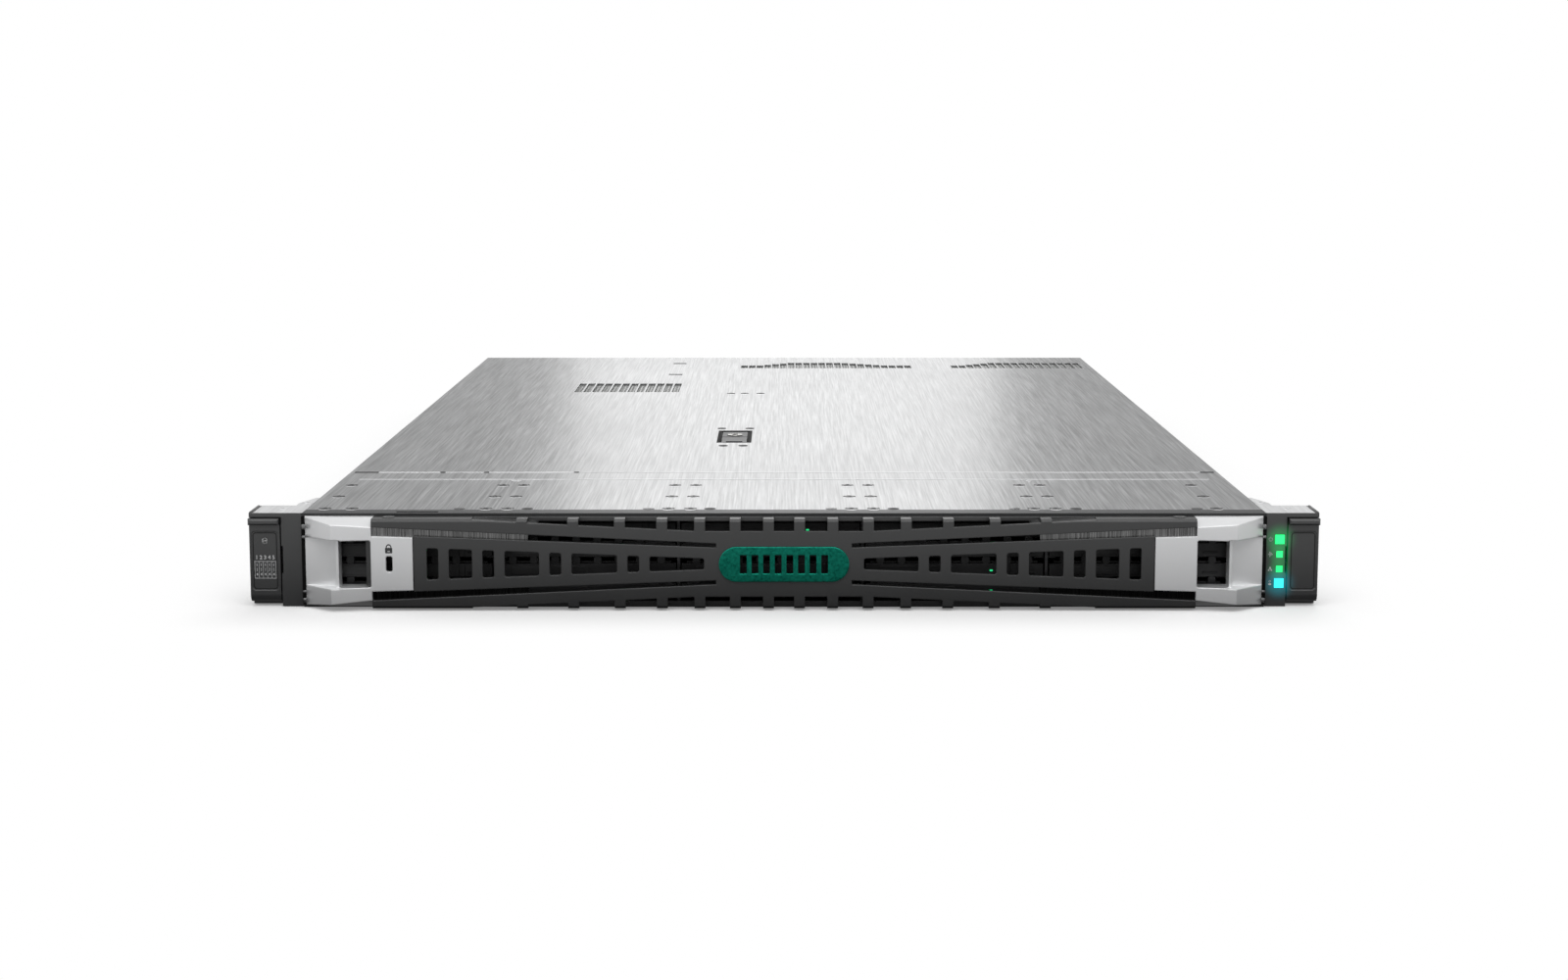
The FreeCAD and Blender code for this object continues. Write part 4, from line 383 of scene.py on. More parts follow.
def pressed(name, places, radius, height, dish, material, top=TOP_Z, body="chassis",
            sides=20):
    """Pressings of one size at places on a top sheet, all in millimetres except the sheet's height."""
    first = button(radius, height, dish, material, sides)
    return row_of(first, name, [(x * MM, y * MM, top) for x, y in places], body)


BUTTON_X = (-209.2, -135.9, -125.9, -52.7, -42.6, 30.7, 40.8, 113.9, 123.8, 197.1)
NEAR_X = (*BUTTON_X, -196.9)
NEAR_Y = -10.0
BUTTONS = [(x, y) for y in (65.4, 27.9) for x in BUTTON_X] + [(x, NEAR_Y) for x in NEAR_X]
# The buttons and the ring rivets are painted dark: painted shade in their dishes. The dark disc set a little
# behind each button is partly its shear line and partly a painted shadow, the bright disc set 2.2 mm in front
# of it is a painted highlight, and the flat plugs are painted dark as painted shade.
shaded_button_sheet = sheet_metal("shaded_button_sheet", (0.03, 0.0303, 0.0306), (0.10, 0.101, 0.102), rough=(0.24, 0.36),
                           grain=EVEN_GRAIN, edge=0.0002)
shear_line_and_shade = skinned("shear_line_and_shade", (0.012, 0.012, 0.012), (0.02, 0.02, 0.021), rough=(0.5, 0.7), wear=0.0)
sheen_painted_sheet = sheet_metal("sheen_painted_sheet", (0.62, 0.625, 0.63), (0.80, 0.805, 0.81), rough=(0.3, 0.42),
                        grain=(60.0, 900.0, 900.0))
pressed("top_buttons", BUTTONS, 2.2, 0.34, 0.36, shaded_button_sheet)
pressed("button_shear_shadows", [(x, y + 0.5) for x, y in BUTTONS], 2.95, 0.16, 0.0, shear_line_and_shade)
pressed("button_highlights", [(x, y - 2.2) for x, y in BUTTONS], 2.6, 0.12, 0.0, sheen_painted_sheet)
pressed("ring_rivets", [(x, NEAR_Y) for x in (-147.9, -61.6, 21.6, 105.0, 188.2)], 2.6, 0.24, -0.1,
        shaded_button_sheet)
pressed("flat_plugs", [(x, NEAR_Y) for x in (-116.9, -33.7, 49.8, 133.0)], 2.7, 0.16, 0.06, shear_line_and_shade)

BEAD_Y = 85.5
SEAM_Y = 111.3
TOP = Vector((0, 0, TOP_Z))
COVER = Vector((0, 0, COVER_Z))
# The bead, the cover's lips and the small panel rivets are painted bright: a painted highlight along them.
block("front_bead", TOP + mm(-209, BEAD_Y - 0.6, -0.1), TOP + mm(209, BEAD_Y + 0.6, 0.22), sheen_painted_sheet,
      "chassis")
cover_low, cover_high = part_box("access_cover")
LIP_BREAKS = (cover_low.x / MM + 4, -171, -104, cover_high.x / MM - 4)
for number, (x0, x1) in enumerate(zip(LIP_BREAKS, LIP_BREAKS[1:]), 1):
    block(f"cover_lip_{number}", COVER + mm(x0 + 1.2, SEAM_Y - 0.9, -0.1),
          COVER + mm(x1 - 1.2, SEAM_Y + 0.2, 0.2), sheen_painted_sheet, "access_cover")
SEAM_NOTCHES = ((-209, 12.0), (-171, 2.6), (-149, 2.6), (-104, 2.6), (212, 7.0))
for number, (x, width) in enumerate(SEAM_NOTCHES, 1):
    block(f"seam_notch_{number}", TOP + mm(x - width / 2, SEAM_Y - 1.0, -0.1),
          TOP + mm(x + width / 2, SEAM_Y + 0.6, 0.26), shear_line_and_shade, "chassis")
RISER_RIVET_X = (-34, -25.1, -15)
pressed("panel_rivets", ((-132, 80), (-130, 80), (119.7, 79)), 1.5, 0.3, 0.2, sheen_painted_sheet, sides=14)
# The riser rivets are painted dark as painted shade, with a bright disc in front of each as a painted
# highlight.
pressed("riser_rivets", [(x, 481.7) for x in RISER_RIVET_X], 2.6, 0.26, 0.1, shear_line_and_shade, COVER_Z,
        "access_cover")
pressed("riser_rivet_highlights", [(x, 478.4) for x in RISER_RIVET_X], 2.5, 0.14, 0.0, sheen_painted_sheet, COVER_Z,
        "access_cover")


# ---- Drives and backplane ------------------------------------------------------------------------------
# Twenty slim drives in dark carriers, four to a box, with a label and a lamp on each and ribs between.
# They plug into one green board that stands across the chassis.
drive_case = skinned("drive_case", (0.006, 0.006, 0.0065), (0.014, 0.014, 0.015), rough=(0.4, 0.6),
                     edge=0.0003)
dress(drive_case, *[f"drives_box_{k}" for k in range(1, 6)])


def strip(low, high, material):
    """A thin printed bar between two corners, round at its ends as seen from the front."""
    piece, size = cuboid("strip", low, high)
    round_edges(piece, lambda place, way: abs(way.y) > 0.9, 0.3 * min(size[0], size[2]))
    bpy.ops.object.mode_set(mode="OBJECT")
    piece.data.materials.append(material)
    return piece


def glowing(name, body, glow, strength, rough=0.5, grain=1500.0):
    """A moulded lens lit from behind; body and glow each run from one colour to another."""
    made, tree, bsdf = new_material(name)
    tone = use_effect(tree, paint_skin, Grain=grain)["Tone"]
    tree.links.new(between(tree, tone, *body), bsdf.inputs["Base Color"])
    tree.links.new(between(tree, tone, *glow), bsdf.inputs["Emission Color"])
    bsdf.inputs["Emission Strength"].default_value = strength
    bsdf.inputs["Roughness"].default_value = rough
    return made


drive_label = skinned("drive_label", (0.010, 0.0103, 0.0106), (0.018, 0.0184, 0.0188), rough=(0.36, 0.5),
                      wear=0.0)
drive_slot = skinned("drive_slot", (0.001, 0.001, 0.001), (0.003, 0.003, 0.003), rough=(0.5, 0.7), wear=0.0)
activity_light = glowing("activity_light", ((0.0, 0.35, 0.08), (0.02, 0.9, 0.3)),
                         ((0.0, 0.5, 0.12), (0.05, 1.0, 0.4)), 0.9)
DRIVE_Z = (6.9, 16.2, 25.5, 34.8)
GAP_Z = [(a + b) / 2 for a, b in zip(DRIVE_Z, DRIVE_Z[1:])]
# Millimetres from a box's left or right edge, from its face and from the middle of a drive or of a gap.
RIB_X = [6.7 + k * 9.6 for k in range(8)]
RIBS = [((x - 1.75, 0.4, -1.75), (x + 1.75, 6.0, 1.75)) for x in RIB_X]
for number in range(1, 6):
    low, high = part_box(f"drives_box_{number}")
    left, right = Vector((low.x, low.y, 0)), Vector((high.x, low.y, 0))
    for kind, end, heights, spans, material in (
            ("ribs", left, GAP_Z, RIBS, drive_case),
            ("labels", left, DRIVE_Z, [((6.0, -0.1, -2.1), (41.0, 0.2, 2.1))], drive_label),
            ("seams", right, DRIVE_Z, [((-15.2, -0.15, -2.7), (-14.8, 0.2, 2.7)),
                                       ((-11.0, -0.12, -1.5), (-4.0, 0.2, -0.7))], drive_slot),
            ("lights", left, DRIVE_Z, [((56.3, -0.4, -0.4), (57.7, 0.2, 0.3))], activity_light)):
        bars = [strip(end + mm(*a) + mm(0, 0, z), end + mm(*b) + mm(0, 0, z), material)
                for z in heights for a, b in spans]
        gathered(bars, f"drive_{kind}_{number}", "chassis")


def make_board_tracks():
    """Copper tracks and pads under solder mask: Track is 1 on copper, Relief its height."""
    tree, takes, gives = effect("board_tracks", {"Pitch": 700.0}, {"Track": "Float", "Relief": "Float"})
    place = shader_node(tree, "TexCoord").outputs["Object"]
    rows = shader_node(tree, "TexWave", {"Vector": place, "Scale": takes["Pitch"], "Distortion": 0.0},
                       wave_type="BANDS", bands_direction="X")
    blocks = shader_node(tree, "TexVoronoi", {"Vector": place, "Scale": 90.0, "Randomness": 0.9},
                         distance="CHEBYCHEV")
    choose = shader_node(tree, "Math", {0: blocks.outputs["Color"], 1: 0.52}, operation="GREATER_THAN")
    lines = shader_node(tree, "Math", {0: rows.outputs["Fac"], 1: 0.62}, operation="GREATER_THAN")
    both = shader_node(tree, "Math", {0: choose.outputs[0], 1: lines.outputs[0]}, operation="MULTIPLY")
    tree.links.new(both.outputs[0], gives["Track"])
    tree.links.new(both.outputs[0], gives["Relief"])
    return tree


green_board, tree, bsdf = new_material("green_board")
tracks = use_effect(tree, make_board_tracks())
tree.links.new(between(tree, tracks["Track"], (0.006, 0.055, 0.028), (0.02, 0.11, 0.055)),
               bsdf.inputs["Base Color"])
tree.links.new(between(tree, tracks["Track"], 0.36, 0.3), bsdf.inputs["Roughness"])
relieved(tree, bsdf, 0.0002, tracks["Relief"], 0.00002)
dress(green_board, "drive_backplane", "system_board", "riser_boards", "psu_connector_board", "status_board",
      "memory_modules")


# ---- Fans, heatsinks and processors --------------------------------------------------------------------
# Six fan modules with black moulded housings, and two finned aluminium blocks on nickel-plated processors.
# Each fan has a wire guard before its bore, a numbered label and a blue grip on top, and a label on its hub.
black_moulding = skinned("black_moulding", (0.010, 0.010, 0.011), (0.022, 0.022, 0.024), rough=(0.42, 0.58))
dress(black_moulding, "fan_frames", "memory_sockets", *[f"fan_rotor_{k}" for k in range(1, 7)])
aluminium = sheet_metal("aluminium", (0.42, 0.427, 0.434), (0.66, 0.667, 0.674), rough=(0.3, 0.45))
dress(aluminium, "cpu_heatsink_left", "cpu_heatsink_right")
nickel_lid = sheet_metal("nickel_lid", (0.36, 0.353, 0.338), (0.5, 0.492, 0.47), rough=(0.2, 0.3),
                         grain=(700.0, 700.0, 700.0))
dress(nickel_lid, "processors")


# Height of a capital as a part of the font's size.
CAPITAL = 0.7


def figure(text, height, place, material, turn=90):
    """A printed character of a height in metres that faces the front, its middle at the place."""
    alone()
    bpy.ops.object.text_add(location=(0, 0, 0))
    words = bpy.context.object
    words.data.body = text
    words.data.size = height / CAPITAL
    words.data.align_x = words.data.align_y = "CENTER"
    words.data.resolution_u = 3
    words.data.extrude = 0.00003
    words.data.offset = 0.00005
    bpy.ops.object.convert(target="MESH")
    bpy.context.object.rotation_euler = (math.radians(turn), 0, 0)
    bpy.context.object.location = place
    piece = taken("figure")
    piece.data.materials.clear()
    piece.data.materials.append(material)
    return piece


def loop(radius, thick, place, material, squash=1.0, sides=20):
    """A ring that faces the front, flat as print or thin wire, its radii in millimetres."""
    alone()
    bpy.ops.mesh.primitive_torus_add(major_radius=radius * MM, minor_radius=thick * MM, major_segments=sides,
                                     minor_segments=6, location=place, rotation=(math.radians(90), 0, 0))
    bpy.context.object.scale = (1, squash, 0.4)
    piece = taken("loop")
    piece.data.materials.append(material)
    return piece


FAN_LOW, FAN_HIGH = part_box("fan_frames")
FAN_MIDDLE = 21.0 * MM
FAN_X = [(k - 2.5) * 68.0 * MM for k in range(6)]
label_white = skinned("label_white", (0.55, 0.555, 0.56), (0.68, 0.685, 0.69), rough=(0.4, 0.55), wear=0.0)
touch_blue = skinned("touch_blue", (0.012, 0.075, 0.25), (0.02, 0.11, 0.34), rough=(0.34, 0.46))
guard_wire = sheet_metal("guard_wire", (0.34, 0.34, 0.34), (0.56, 0.56, 0.56), grain=EVEN_GRAIN, wear=0.2)
for number, x in enumerate(FAN_X, 1):
    bore = Vector((x, FAN_LOW.y, FAN_MIDDLE))
    wires = [loop(radius, 0.55, bore - mm(0, 0.4, 0), guard_wire, sides=32)
             for radius in (6.0, 10.4, 14.8, 19.0)]
    for turn in (45, 135):
        spoke = disc("spoke", 0.6, 41, bore - mm(0, 0.5, 0), sides=8, turn=(0, turn, 0))
        round_edges(spoke, lambda place, way: abs(way.y) < 0.1, 0.1 * MM, segments=1)
        bpy.ops.object.mode_set(mode="OBJECT")
        spoke.data.materials.append(guard_wire)
        wires.append(spoke)
    gathered(wires, f"fan_guard_{number}", "chassis")
    front, back = Vector((x, FAN_LOW.y, FAN_HIGH.z)), Vector((x, FAN_HIGH.y, FAN_HIGH.z))
    block(f"fan_label_{number}", front + mm(-15, 14, -0.1), front + mm(15, 34, 0.1), label_white, "chassis",
          bevel=0.04)
    block(f"fan_grip_{number}", back + mm(-9, -12, -0.4), back + mm(9, -3, 0.5), touch_blue, "chassis",
          bevel=0.4, segments=3)
    digit = figure(str(number), 8 * MM, front + mm(0, 24, 0.13), black_moulding, turn=0)
    finished(digit, black_moulding, "chassis")
    digit.name = digit.data.name = f"fan_number_{number}"
    hub = Vector((x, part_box(f"fan_rotor_{number}")[0].y, FAN_MIDDLE))
    sticker = disc(f"hub_label_{number}", 6.6, 0.4, hub - mm(0, 0.1, 0), turn=(90, 0, 0))
    pick(sticker, lambda place, way: way.y < -0.9)
    step_faces(((1.2, 0.12),), along=(0, -1, 0))
    finished(sticker, aluminium, f"fan_{number}")


# ---- Memory modules and their latches ----------------------------------------------------------------------
# Twenty-four modules with nine black resin chips on each face. Each is held in its black moulded socket by
# an ivory plastic latch at either end.
def repeated(name, size, places, material, test, bevel, segments=1, standing=True):
    """One small block in millimetres, standing on its places or centred on them, its tested edges rounded."""
    low, high = mm(*size) / -2, mm(*size) / 2
    lift = Vector((0, 0, high.z if standing else 0))
    piece, _ = cuboid("part", low + lift, high + lift)
    round_edges(piece, test, bevel * MM, segments)
    finished(piece, material, "chassis")
    return row_of(piece, name, places, "chassis")


MODULE_LOW, MODULE_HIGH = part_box("memory_modules")
SOCKET_LOW, SOCKET_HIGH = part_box("memory_sockets")
MODULE_X = [s * (100 + t * (44.3 + k * 7.3)) * MM for s in (-1, 1) for t in (-1, 1) for k in range(6)]
CHIP_PITCH = (MODULE_HIGH.y - MODULE_LOW.y - 8 * MM) / 9
CHIP_Y = [MODULE_LOW.y + 4 * MM + (k + 0.5) * CHIP_PITCH for k in range(9)]
chip_resin = skinned("chip_resin", (0.008, 0.008, 0.0085), (0.018, 0.018, 0.019), rough=(0.4, 0.55),
                     edge=0.0002, wear=0.1)
latch_ivory = skinned("latch_ivory", (0.40, 0.39, 0.36), (0.52, 0.51, 0.47), rough=(0.4, 0.55))
repeated("memory_chips", (0.9, 8.8, 10.5),
         [(x + side * 1.1 * MM, y, 26 * MM) for x in MODULE_X for side in (-1, 1) for y in CHIP_Y],
         chip_resin, lambda place, way: abs(place.x) > 0.4 * MM, 0.2, standing=False)
repeated("memory_latches", (5.2, 3.8, 20.0),
         [(x, y, SOCKET_HIGH.z + 9.5 * MM) for x in MODULE_X
          for y in (SOCKET_LOW.y + 1.7 * MM, SOCKET_HIGH.y - 1.7 * MM)], latch_ivory,
         lambda place, way: True, 0.8, segments=2, standing=False)


# ---- Parts of the system board -----------------------------------------------------------------------------
# Chokes, capacitors, chips and headers, soldered to the board round the processors and before the risers.
# The hub chip carries an aluminium sink, and a coin cell lies in a moulded holder.
BOARD = Vector((0, 0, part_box("system_board")[1].z))
choke_core = skinned("choke_core", (0.030, 0.030, 0.031), (0.055, 0.055, 0.057), rough=(0.5, 0.65),
                     edge=0.0003)
can_metal = sheet_metal("can_metal", (0.46, 0.46, 0.465), (0.68, 0.68, 0.685), grain=EVEN_GRAIN)
header_white = skinned("header_white", (0.5, 0.5, 0.49), (0.64, 0.64, 0.63), rough=(0.4, 0.5))


def phases(ys):
    """Places of the parts of the processors' supplies, eight across in each row."""
    return [BOARD + mm(s * 100 + (k - 3.5) * 9.2, y, 0) for s in (-1, 1) for y in ys for k in range(8)]


repeated("power_chokes", (7.2, 7.2, 5.5), phases((440, 452)), choke_core,
         lambda place, way: place.z > 5 * MM or abs(way.z) > 0.9, 0.7, segments=2)
can = disc("capacitor", 3.4, 8.5, mm(0, 0, 4.25), sides=18)
pick(can, lambda place, way: way.z > 0.9)
step_faces(((0.5, 0.3), (0.4, -0.2)))
finished(can, can_metal, "chassis")
row_of(can, "capacitors", phases((463, 290)) + [BOARD + mm(k * 14 - 20, 556, 0) for k in range(6)], "chassis")
near_fans = [BOARD + mm(-196 + 7.9 * k + 1.7 * (j % 3), 228 + 9.5 * j + 1.3 * (k % 4), 0)
             for j in range(6) for k in range(50)]
before_risers = [BOARD + mm(-52 + 5.2 * k + 1.1 * (j % 2), 478 + 8 * j + 0.9 * (k % 3), 0)
                 for j in range(11) for k in range(24)]
repeated("small_parts", (1.6, 0.9, 0.7), near_fans + before_risers, latch_ivory,
         lambda place, way: place.z > 0.6 * MM, 0.15)
for name, x, y, width, height in (("hub_chip", 24, 516, 27, 2.4), ("manager_chip", -34, 520, 21, 2.0),
                                  ("clock_chip", 70, 480, 10, 1.2), ("link_chip_left", -150, 262, 16, 1.8),
                                  ("link_chip_right", 150, 262, 16, 1.8), ("flash_chip", -60, 496, 12, 1.6),
                                  ("power_chip", 132, 508, 14, 1.6)):
    block(name, BOARD + mm(x - width / 2, y - width / 2, 0), BOARD + mm(x + width / 2, y + width / 2, height),
          chip_resin, "chassis", bevel=0.3)
block("hub_sink_base", BOARD + mm(9, 501, 2.4), BOARD + mm(39, 531, 4.4), aluminium, "chassis")
repeated("hub_sink_fins", (1.1, 30.0, 8.0), [BOARD + mm(10 + 2.8 * k, 516, 4.3) for k in range(11)],
         aluminium, lambda place, way: place.z > 7 * MM, 0.3)
for number, x in enumerate(FAN_X, 1):
    middle = BOARD + Vector((x, 0, 0))
    block(f"fan_header_{number}", middle + mm(-7, 217, 0), middle + mm(7, 223, 7), header_white, "chassis",
          bevel=0.4)
for number, x in enumerate((96, 120, 144, 168), 1):
    block(f"cable_header_{number}", BOARD + mm(x - 9, 548, 0), BOARD + mm(x + 9, 554, 8), black_moulding,
          "chassis", bevel=0.4)
cell = disc("clock_battery", 10.1, 3.2, BOARD + mm(70, 520, 4), sides=36)
pick(cell, lambda place, way: way.z > 0.9)
bpy.ops.mesh.bevel(offset=0.4 * MM, segments=2, affect="EDGES")
step_faces(((1.2, -0.15),))
finished(cell, can_metal, "chassis")
block("battery_holder", BOARD + mm(58, 511, 0), BOARD + mm(82, 529, 3.4), black_moulding, "chassis",
      bevel=0.5)


# ---- Power supplies, risers and ports ------------------------------------------------------------------
# Plated steel boxes with black handles, blue release tabs, folded card cages and nickel-plated port shells.
# The insides of the inlets and the ports are painted near black: partly the black mouldings that line them,
# partly painted shade in the hollows. The serial and video ports also hold blue mouldings.
plated_box = sheet_metal("plated_box", (0.34, 0.344, 0.348), (0.56, 0.565, 0.57), rough=(0.32, 0.46))
dress(plated_box, "psu_left", "psu_right", "riser_cage_left", "riser_cage_right", "slot_blanks",
      "network_adapter", "mezzanine_blank")
nickel_shell = sheet_metal("nickel_shell", (0.36, 0.36, 0.353), (0.52, 0.52, 0.505), rough=(0.2, 0.32),
                           wear=0.3)
dress(nickel_shell, "rear_ports")


def line_hollows(made, boxes):
    """Turns the parts of a metal finish that lie in these boxes near black and not metallic: partly the black
    moulding that lines them, partly painted shade in the hollows.
    """
    tree = made.node_tree
    bsdf = tree.nodes["Principled BSDF"]
    place = shader_node(tree, "TexCoord").outputs["Object"]
    mask = None
    for low, high in boxes:
        low, high = mm(*low), mm(*high)
        away = shader_node(tree, "VectorMath", {0: place, 1: (low + high) / 2}, operation="SUBTRACT")
        away = shader_node(tree, "VectorMath", {0: away.outputs[0]}, operation="ABSOLUTE")
        away = shader_node(tree, "VectorMath", {0: away.outputs[0], 1: (high - low) / 2},
                           operation="SUBTRACT")
        sides = shader_node(tree, "SeparateXYZ", {0: away.outputs[0]}).outputs
        most = shader_node(tree, "Math", {0: sides["X"], 1: sides["Y"]}, operation="MAXIMUM")
        most = shader_node(tree, "Math", {0: most.outputs[0], 1: sides["Z"]}, operation="MAXIMUM")
        inside = shader_node(tree, "Math", {0: most.outputs[0], 1: 0.0}, operation="LESS_THAN")
        if mask:
            inside = shader_node(tree, "Math", {0: mask, 1: inside.outputs[0]}, operation="MAXIMUM")
        mask = inside.outputs[0]
    colour = bsdf.inputs["Base Color"].links[0].from_socket
    mixed = shader_node(tree, "Mix", {0: mask, 6: colour}, data_type="RGBA")
    mixed.inputs[7].default_value = (0.012, 0.012, 0.013, 1)
    tree.links.new(mixed.outputs[2], bsdf.inputs["Base Color"])
    tree.links.new(between(tree, mask, 1.0, 0.0), bsdf.inputs["Metallic"])


PORT_END = 729.0
JACK_X, SERIAL_X, VIDEO_X = 40, 66, 95
INLET_X = (-197.35, -123.35)
line_hollows(nickel_shell, [((JACK_X - 6, 706, 9.0), (JACK_X + 6, PORT_END, 17.4)),
                            ((SERIAL_X - 6, 712, 7.2), (SERIAL_X + 6, PORT_END, 11.8)),
                            ((SERIAL_X - 6, 712, 14.6), (SERIAL_X + 6, PORT_END, 19.2)),
                            ((VIDEO_X - 7.2, 720, 7.9), (VIDEO_X + 7.2, PORT_END, 13.7))])
line_hollows(plated_box, [((x - 14.35, 712.8, 10.65), (x + 14.35, 730.2, 31.35)) for x in INLET_X])
dress(black_moulding, "psu_handle_left", "psu_handle_right")
release_plastic = skinned("release_plastic", (0.012, 0.055, 0.16), (0.02, 0.09, 0.24))
dress(release_plastic, "psu_release_left", "psu_release_right")
green_glass = glowing("green_glass", ((0.0, 0.4, 0.1), (0.02, 0.8, 0.25)),
                      ((0.0, 0.5, 0.12), (0.04, 0.9, 0.3)), 0.8)
steel_face = sheet_metal("steel_face", (0.44, 0.444, 0.448), (0.62, 0.625, 0.63), rough=(0.3, 0.42),
                         grain=EVEN_GRAIN)
contact_gold = sheet_metal("contact_gold", (0.62, 0.44, 0.17), (0.82, 0.62, 0.28), rough=(0.2, 0.32),
                           grain=EVEN_GRAIN)
port_blue = skinned("port_blue", (0.01, 0.05, 0.2), (0.015, 0.075, 0.28), rough=(0.34, 0.46))
for side in ("left", "right"):
    low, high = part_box(f"psu_{side}")
    middle = (low.x + high.x) / 2
    grip = Vector((middle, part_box(f"psu_handle_{side}")[1].y, 0))
    ridges = [strip(grip + mm(k * 2.4 - 2, -0.3, 9.4), grip + mm(k * 2.4 - 1, 0.4, 12.2), black_moulding)
              for k in range(12)]
    gathered(ridges, f"psu_handle_ridges_{side}", f"psu_handle_{side}")
    face = Vector((middle, PORT_END * MM, 0))
    block(f"psu_lamp_{side}", face + mm(-34.4, -0.2, 34.6), face + mm(-32.4, 0.5, 36.6), green_glass,
          f"psu_{side}", bevel=0.3)
    roof = Vector((middle, low.y, high.z))
    block(f"psu_label_{side}", roof + mm(-28, 30, -0.1), roof + mm(28, 108, 0.1), label_white, f"psu_{side}",
          bevel=0.04)
    row_of(button(1.5, 0.24, 0.08, steel_face, sides=12), f"psu_rivets_{side}",
           [roof + mm(dx, dy, 0) for dx in (-33, 33) for dy in (8, 60, 120, 176)], f"psu_{side}")

PORT_FACE = Vector((0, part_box("rear_ports")[1].y, 0))
for number, z in enumerate((10.0, 17.4), 1):
    block(f"serial_tongue_{number}", PORT_FACE + mm(SERIAL_X - 4.6, -8.6, z - 0.3),
          PORT_FACE + mm(SERIAL_X + 4.6, -0.9, z + 1.2), port_blue, "chassis", bevel=0.2)
block("video_insert", PORT_FACE + mm(VIDEO_X - 6.6, -4.2, 8.4), PORT_FACE + mm(VIDEO_X + 6.6, -3.2, 13.2),
      port_blue, "chassis", bevel=0.3)
PIN_X = [JACK_X + (k - 3.5) * 1.05 for k in range(8)]
pins = [strip(PORT_FACE + mm(x - 0.3, -12, 15), PORT_FACE + mm(x + 0.3, -2, 15.4), contact_gold)
        for x in PIN_X]
gathered(pins, "jack_contacts", "chassis")
# The video port's holes are near-black discs: painted shade in them.
hole = disc("video_hole", 0.55, 0.6, sides=10, turn=(90, 0, 0))
pick(hole, lambda place, way: way.y > 0.9)
step_faces(((0.1, 0),))
finished(hole, drive_slot, "chassis")
row_of(hole, "video_holes",
       [PORT_FACE + mm(VIDEO_X + (k - 2) * 2.3 + (row % 2) * 1.15 - 0.5, -3.1, 9.4 + row * 1.5)
        for row in range(3) for k in range(5)], "chassis")


def wall_row(name, places, turn, axis, radius, height, dish, sides):
    """Pressings turned about an axis to stand out of an upright wall."""
    first = button(radius, height, dish, steel_face, sides)
    first.data.transform(Matrix.Rotation(math.radians(turn), 4, axis))
    return row_of(first, name, places, "chassis")


REAR_FACE = 727.9
REAR_SCREWS = ((-58, 21), (86, 31), (212, 14), (30, 31.5), (114, 10))
wall_row("panel_screws", [mm(x, REAR_FACE, z) for x, z in REAR_SCREWS], -90, "X", 2.3, 0.9, 0.5,
         20)
SIDE_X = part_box("chassis_tray")[1].x
SIDE_PLACES = [(y * MM, z * MM) for y in (60, 150, 240, 330, 420, 510, 600, 690) for z in (6.5, 30.0)]
for side, turn, x in (("left", -90, -SIDE_X), ("right", 90, SIDE_X)):
    wall_row(f"side_rivets_{side}", [(x, y, z) for y, z in SIDE_PLACES], turn, "Y", 2.0, 0.35, 0.1,
             16)


# ---- Screens under the cover's vents --------------------------------------------------------------------
# Perforated screens of thin steel, spot-welded under the cover. They let air through the vent slots and
# keep electrical fields in.
def make_punched_holes():
    """Round holes punched in a staggered grid: Hole is 1 in a hole, Relief falls into it."""
    tree, takes, gives = effect("punched_holes", {"Pitch": 0.0022}, {"Hole": "Float", "Relief": "Float"})
    place = shader_node(tree, "TexCoord").outputs["Object"]
    cells = shader_node(tree, "Math", {0: 1.0, 1: takes["Pitch"]}, operation="DIVIDE")
    grid = shader_node(tree, "TexVoronoi", {"Vector": place, "Scale": cells.outputs[0], "Randomness": 0.0},
                       voronoi_dimensions="2D")
    hole = shader_node(tree, "MapRange",
                       {"Value": grid.outputs["Distance"], 1: 0.30, 2: 0.36, 3: 1.0, 4: 0.0})
    tree.links.new(hole.outputs[0], gives["Hole"])
    rise = shader_node(tree, "Math", {0: 1.0, 1: hole.outputs[0]}, operation="SUBTRACT")
    tree.links.new(rise.outputs[0], gives["Relief"])
    return tree


vent_screen, tree, bsdf = new_material("vent_screen")
holes = use_effect(tree, make_punched_holes(), Pitch=0.0022)
tree.links.new(between(tree, holes["Hole"], (0.30, 0.305, 0.30), (0.13, 0.133, 0.13)),
               bsdf.inputs["Base Color"])
tree.links.new(between(tree, holes["Hole"], 0.42, 0.8), bsdf.inputs["Roughness"])
bsdf.inputs["Metallic"].default_value = 0.35
relieved(tree, bsdf, 0.0002, holes["Relief"], 0.0003)
SCREENS = (("front", -140, -64, 486, 549), ("middle", -34, 92, 645, 693), ("side", 114, 212, 645, 693))
for name, x0, x1, y0, y1 in SCREENS:
    block(f"vent_screen_{name}", COVER + mm(x0, y0, -1.34), COVER + mm(x1, y1, -1.22), vent_screen,
          "access_cover", bevel=0.03)


# ---- Cover latch ---------------------------------------------------------------------------------------
# A black moulded lever in a recess of the cover, flush with it when it is closed.
# A plated lock screw is set in the lever, and four small pressings of the cover stand round it.
latch_moulding = skinned("latch_moulding", (0.010, 0.010, 0.011), (0.020, 0.020, 0.022), rough=(0.36, 0.5))
dress(latch_moulding, "cover_latch_lever")
# The recess tray, the gaps beside the lever, its crease and the lock screw's drive are near black: partly the
# black tray and partly painted shade in the gaps and recesses.
latch_gap_shade = skinned("latch_gap_shade", (0.002, 0.002, 0.002), (0.004, 0.004, 0.004), rough=(0.6, 0.8), wear=0.0,
                    shine=0.15)
dress(latch_gap_shade, "cover_latch_tray")

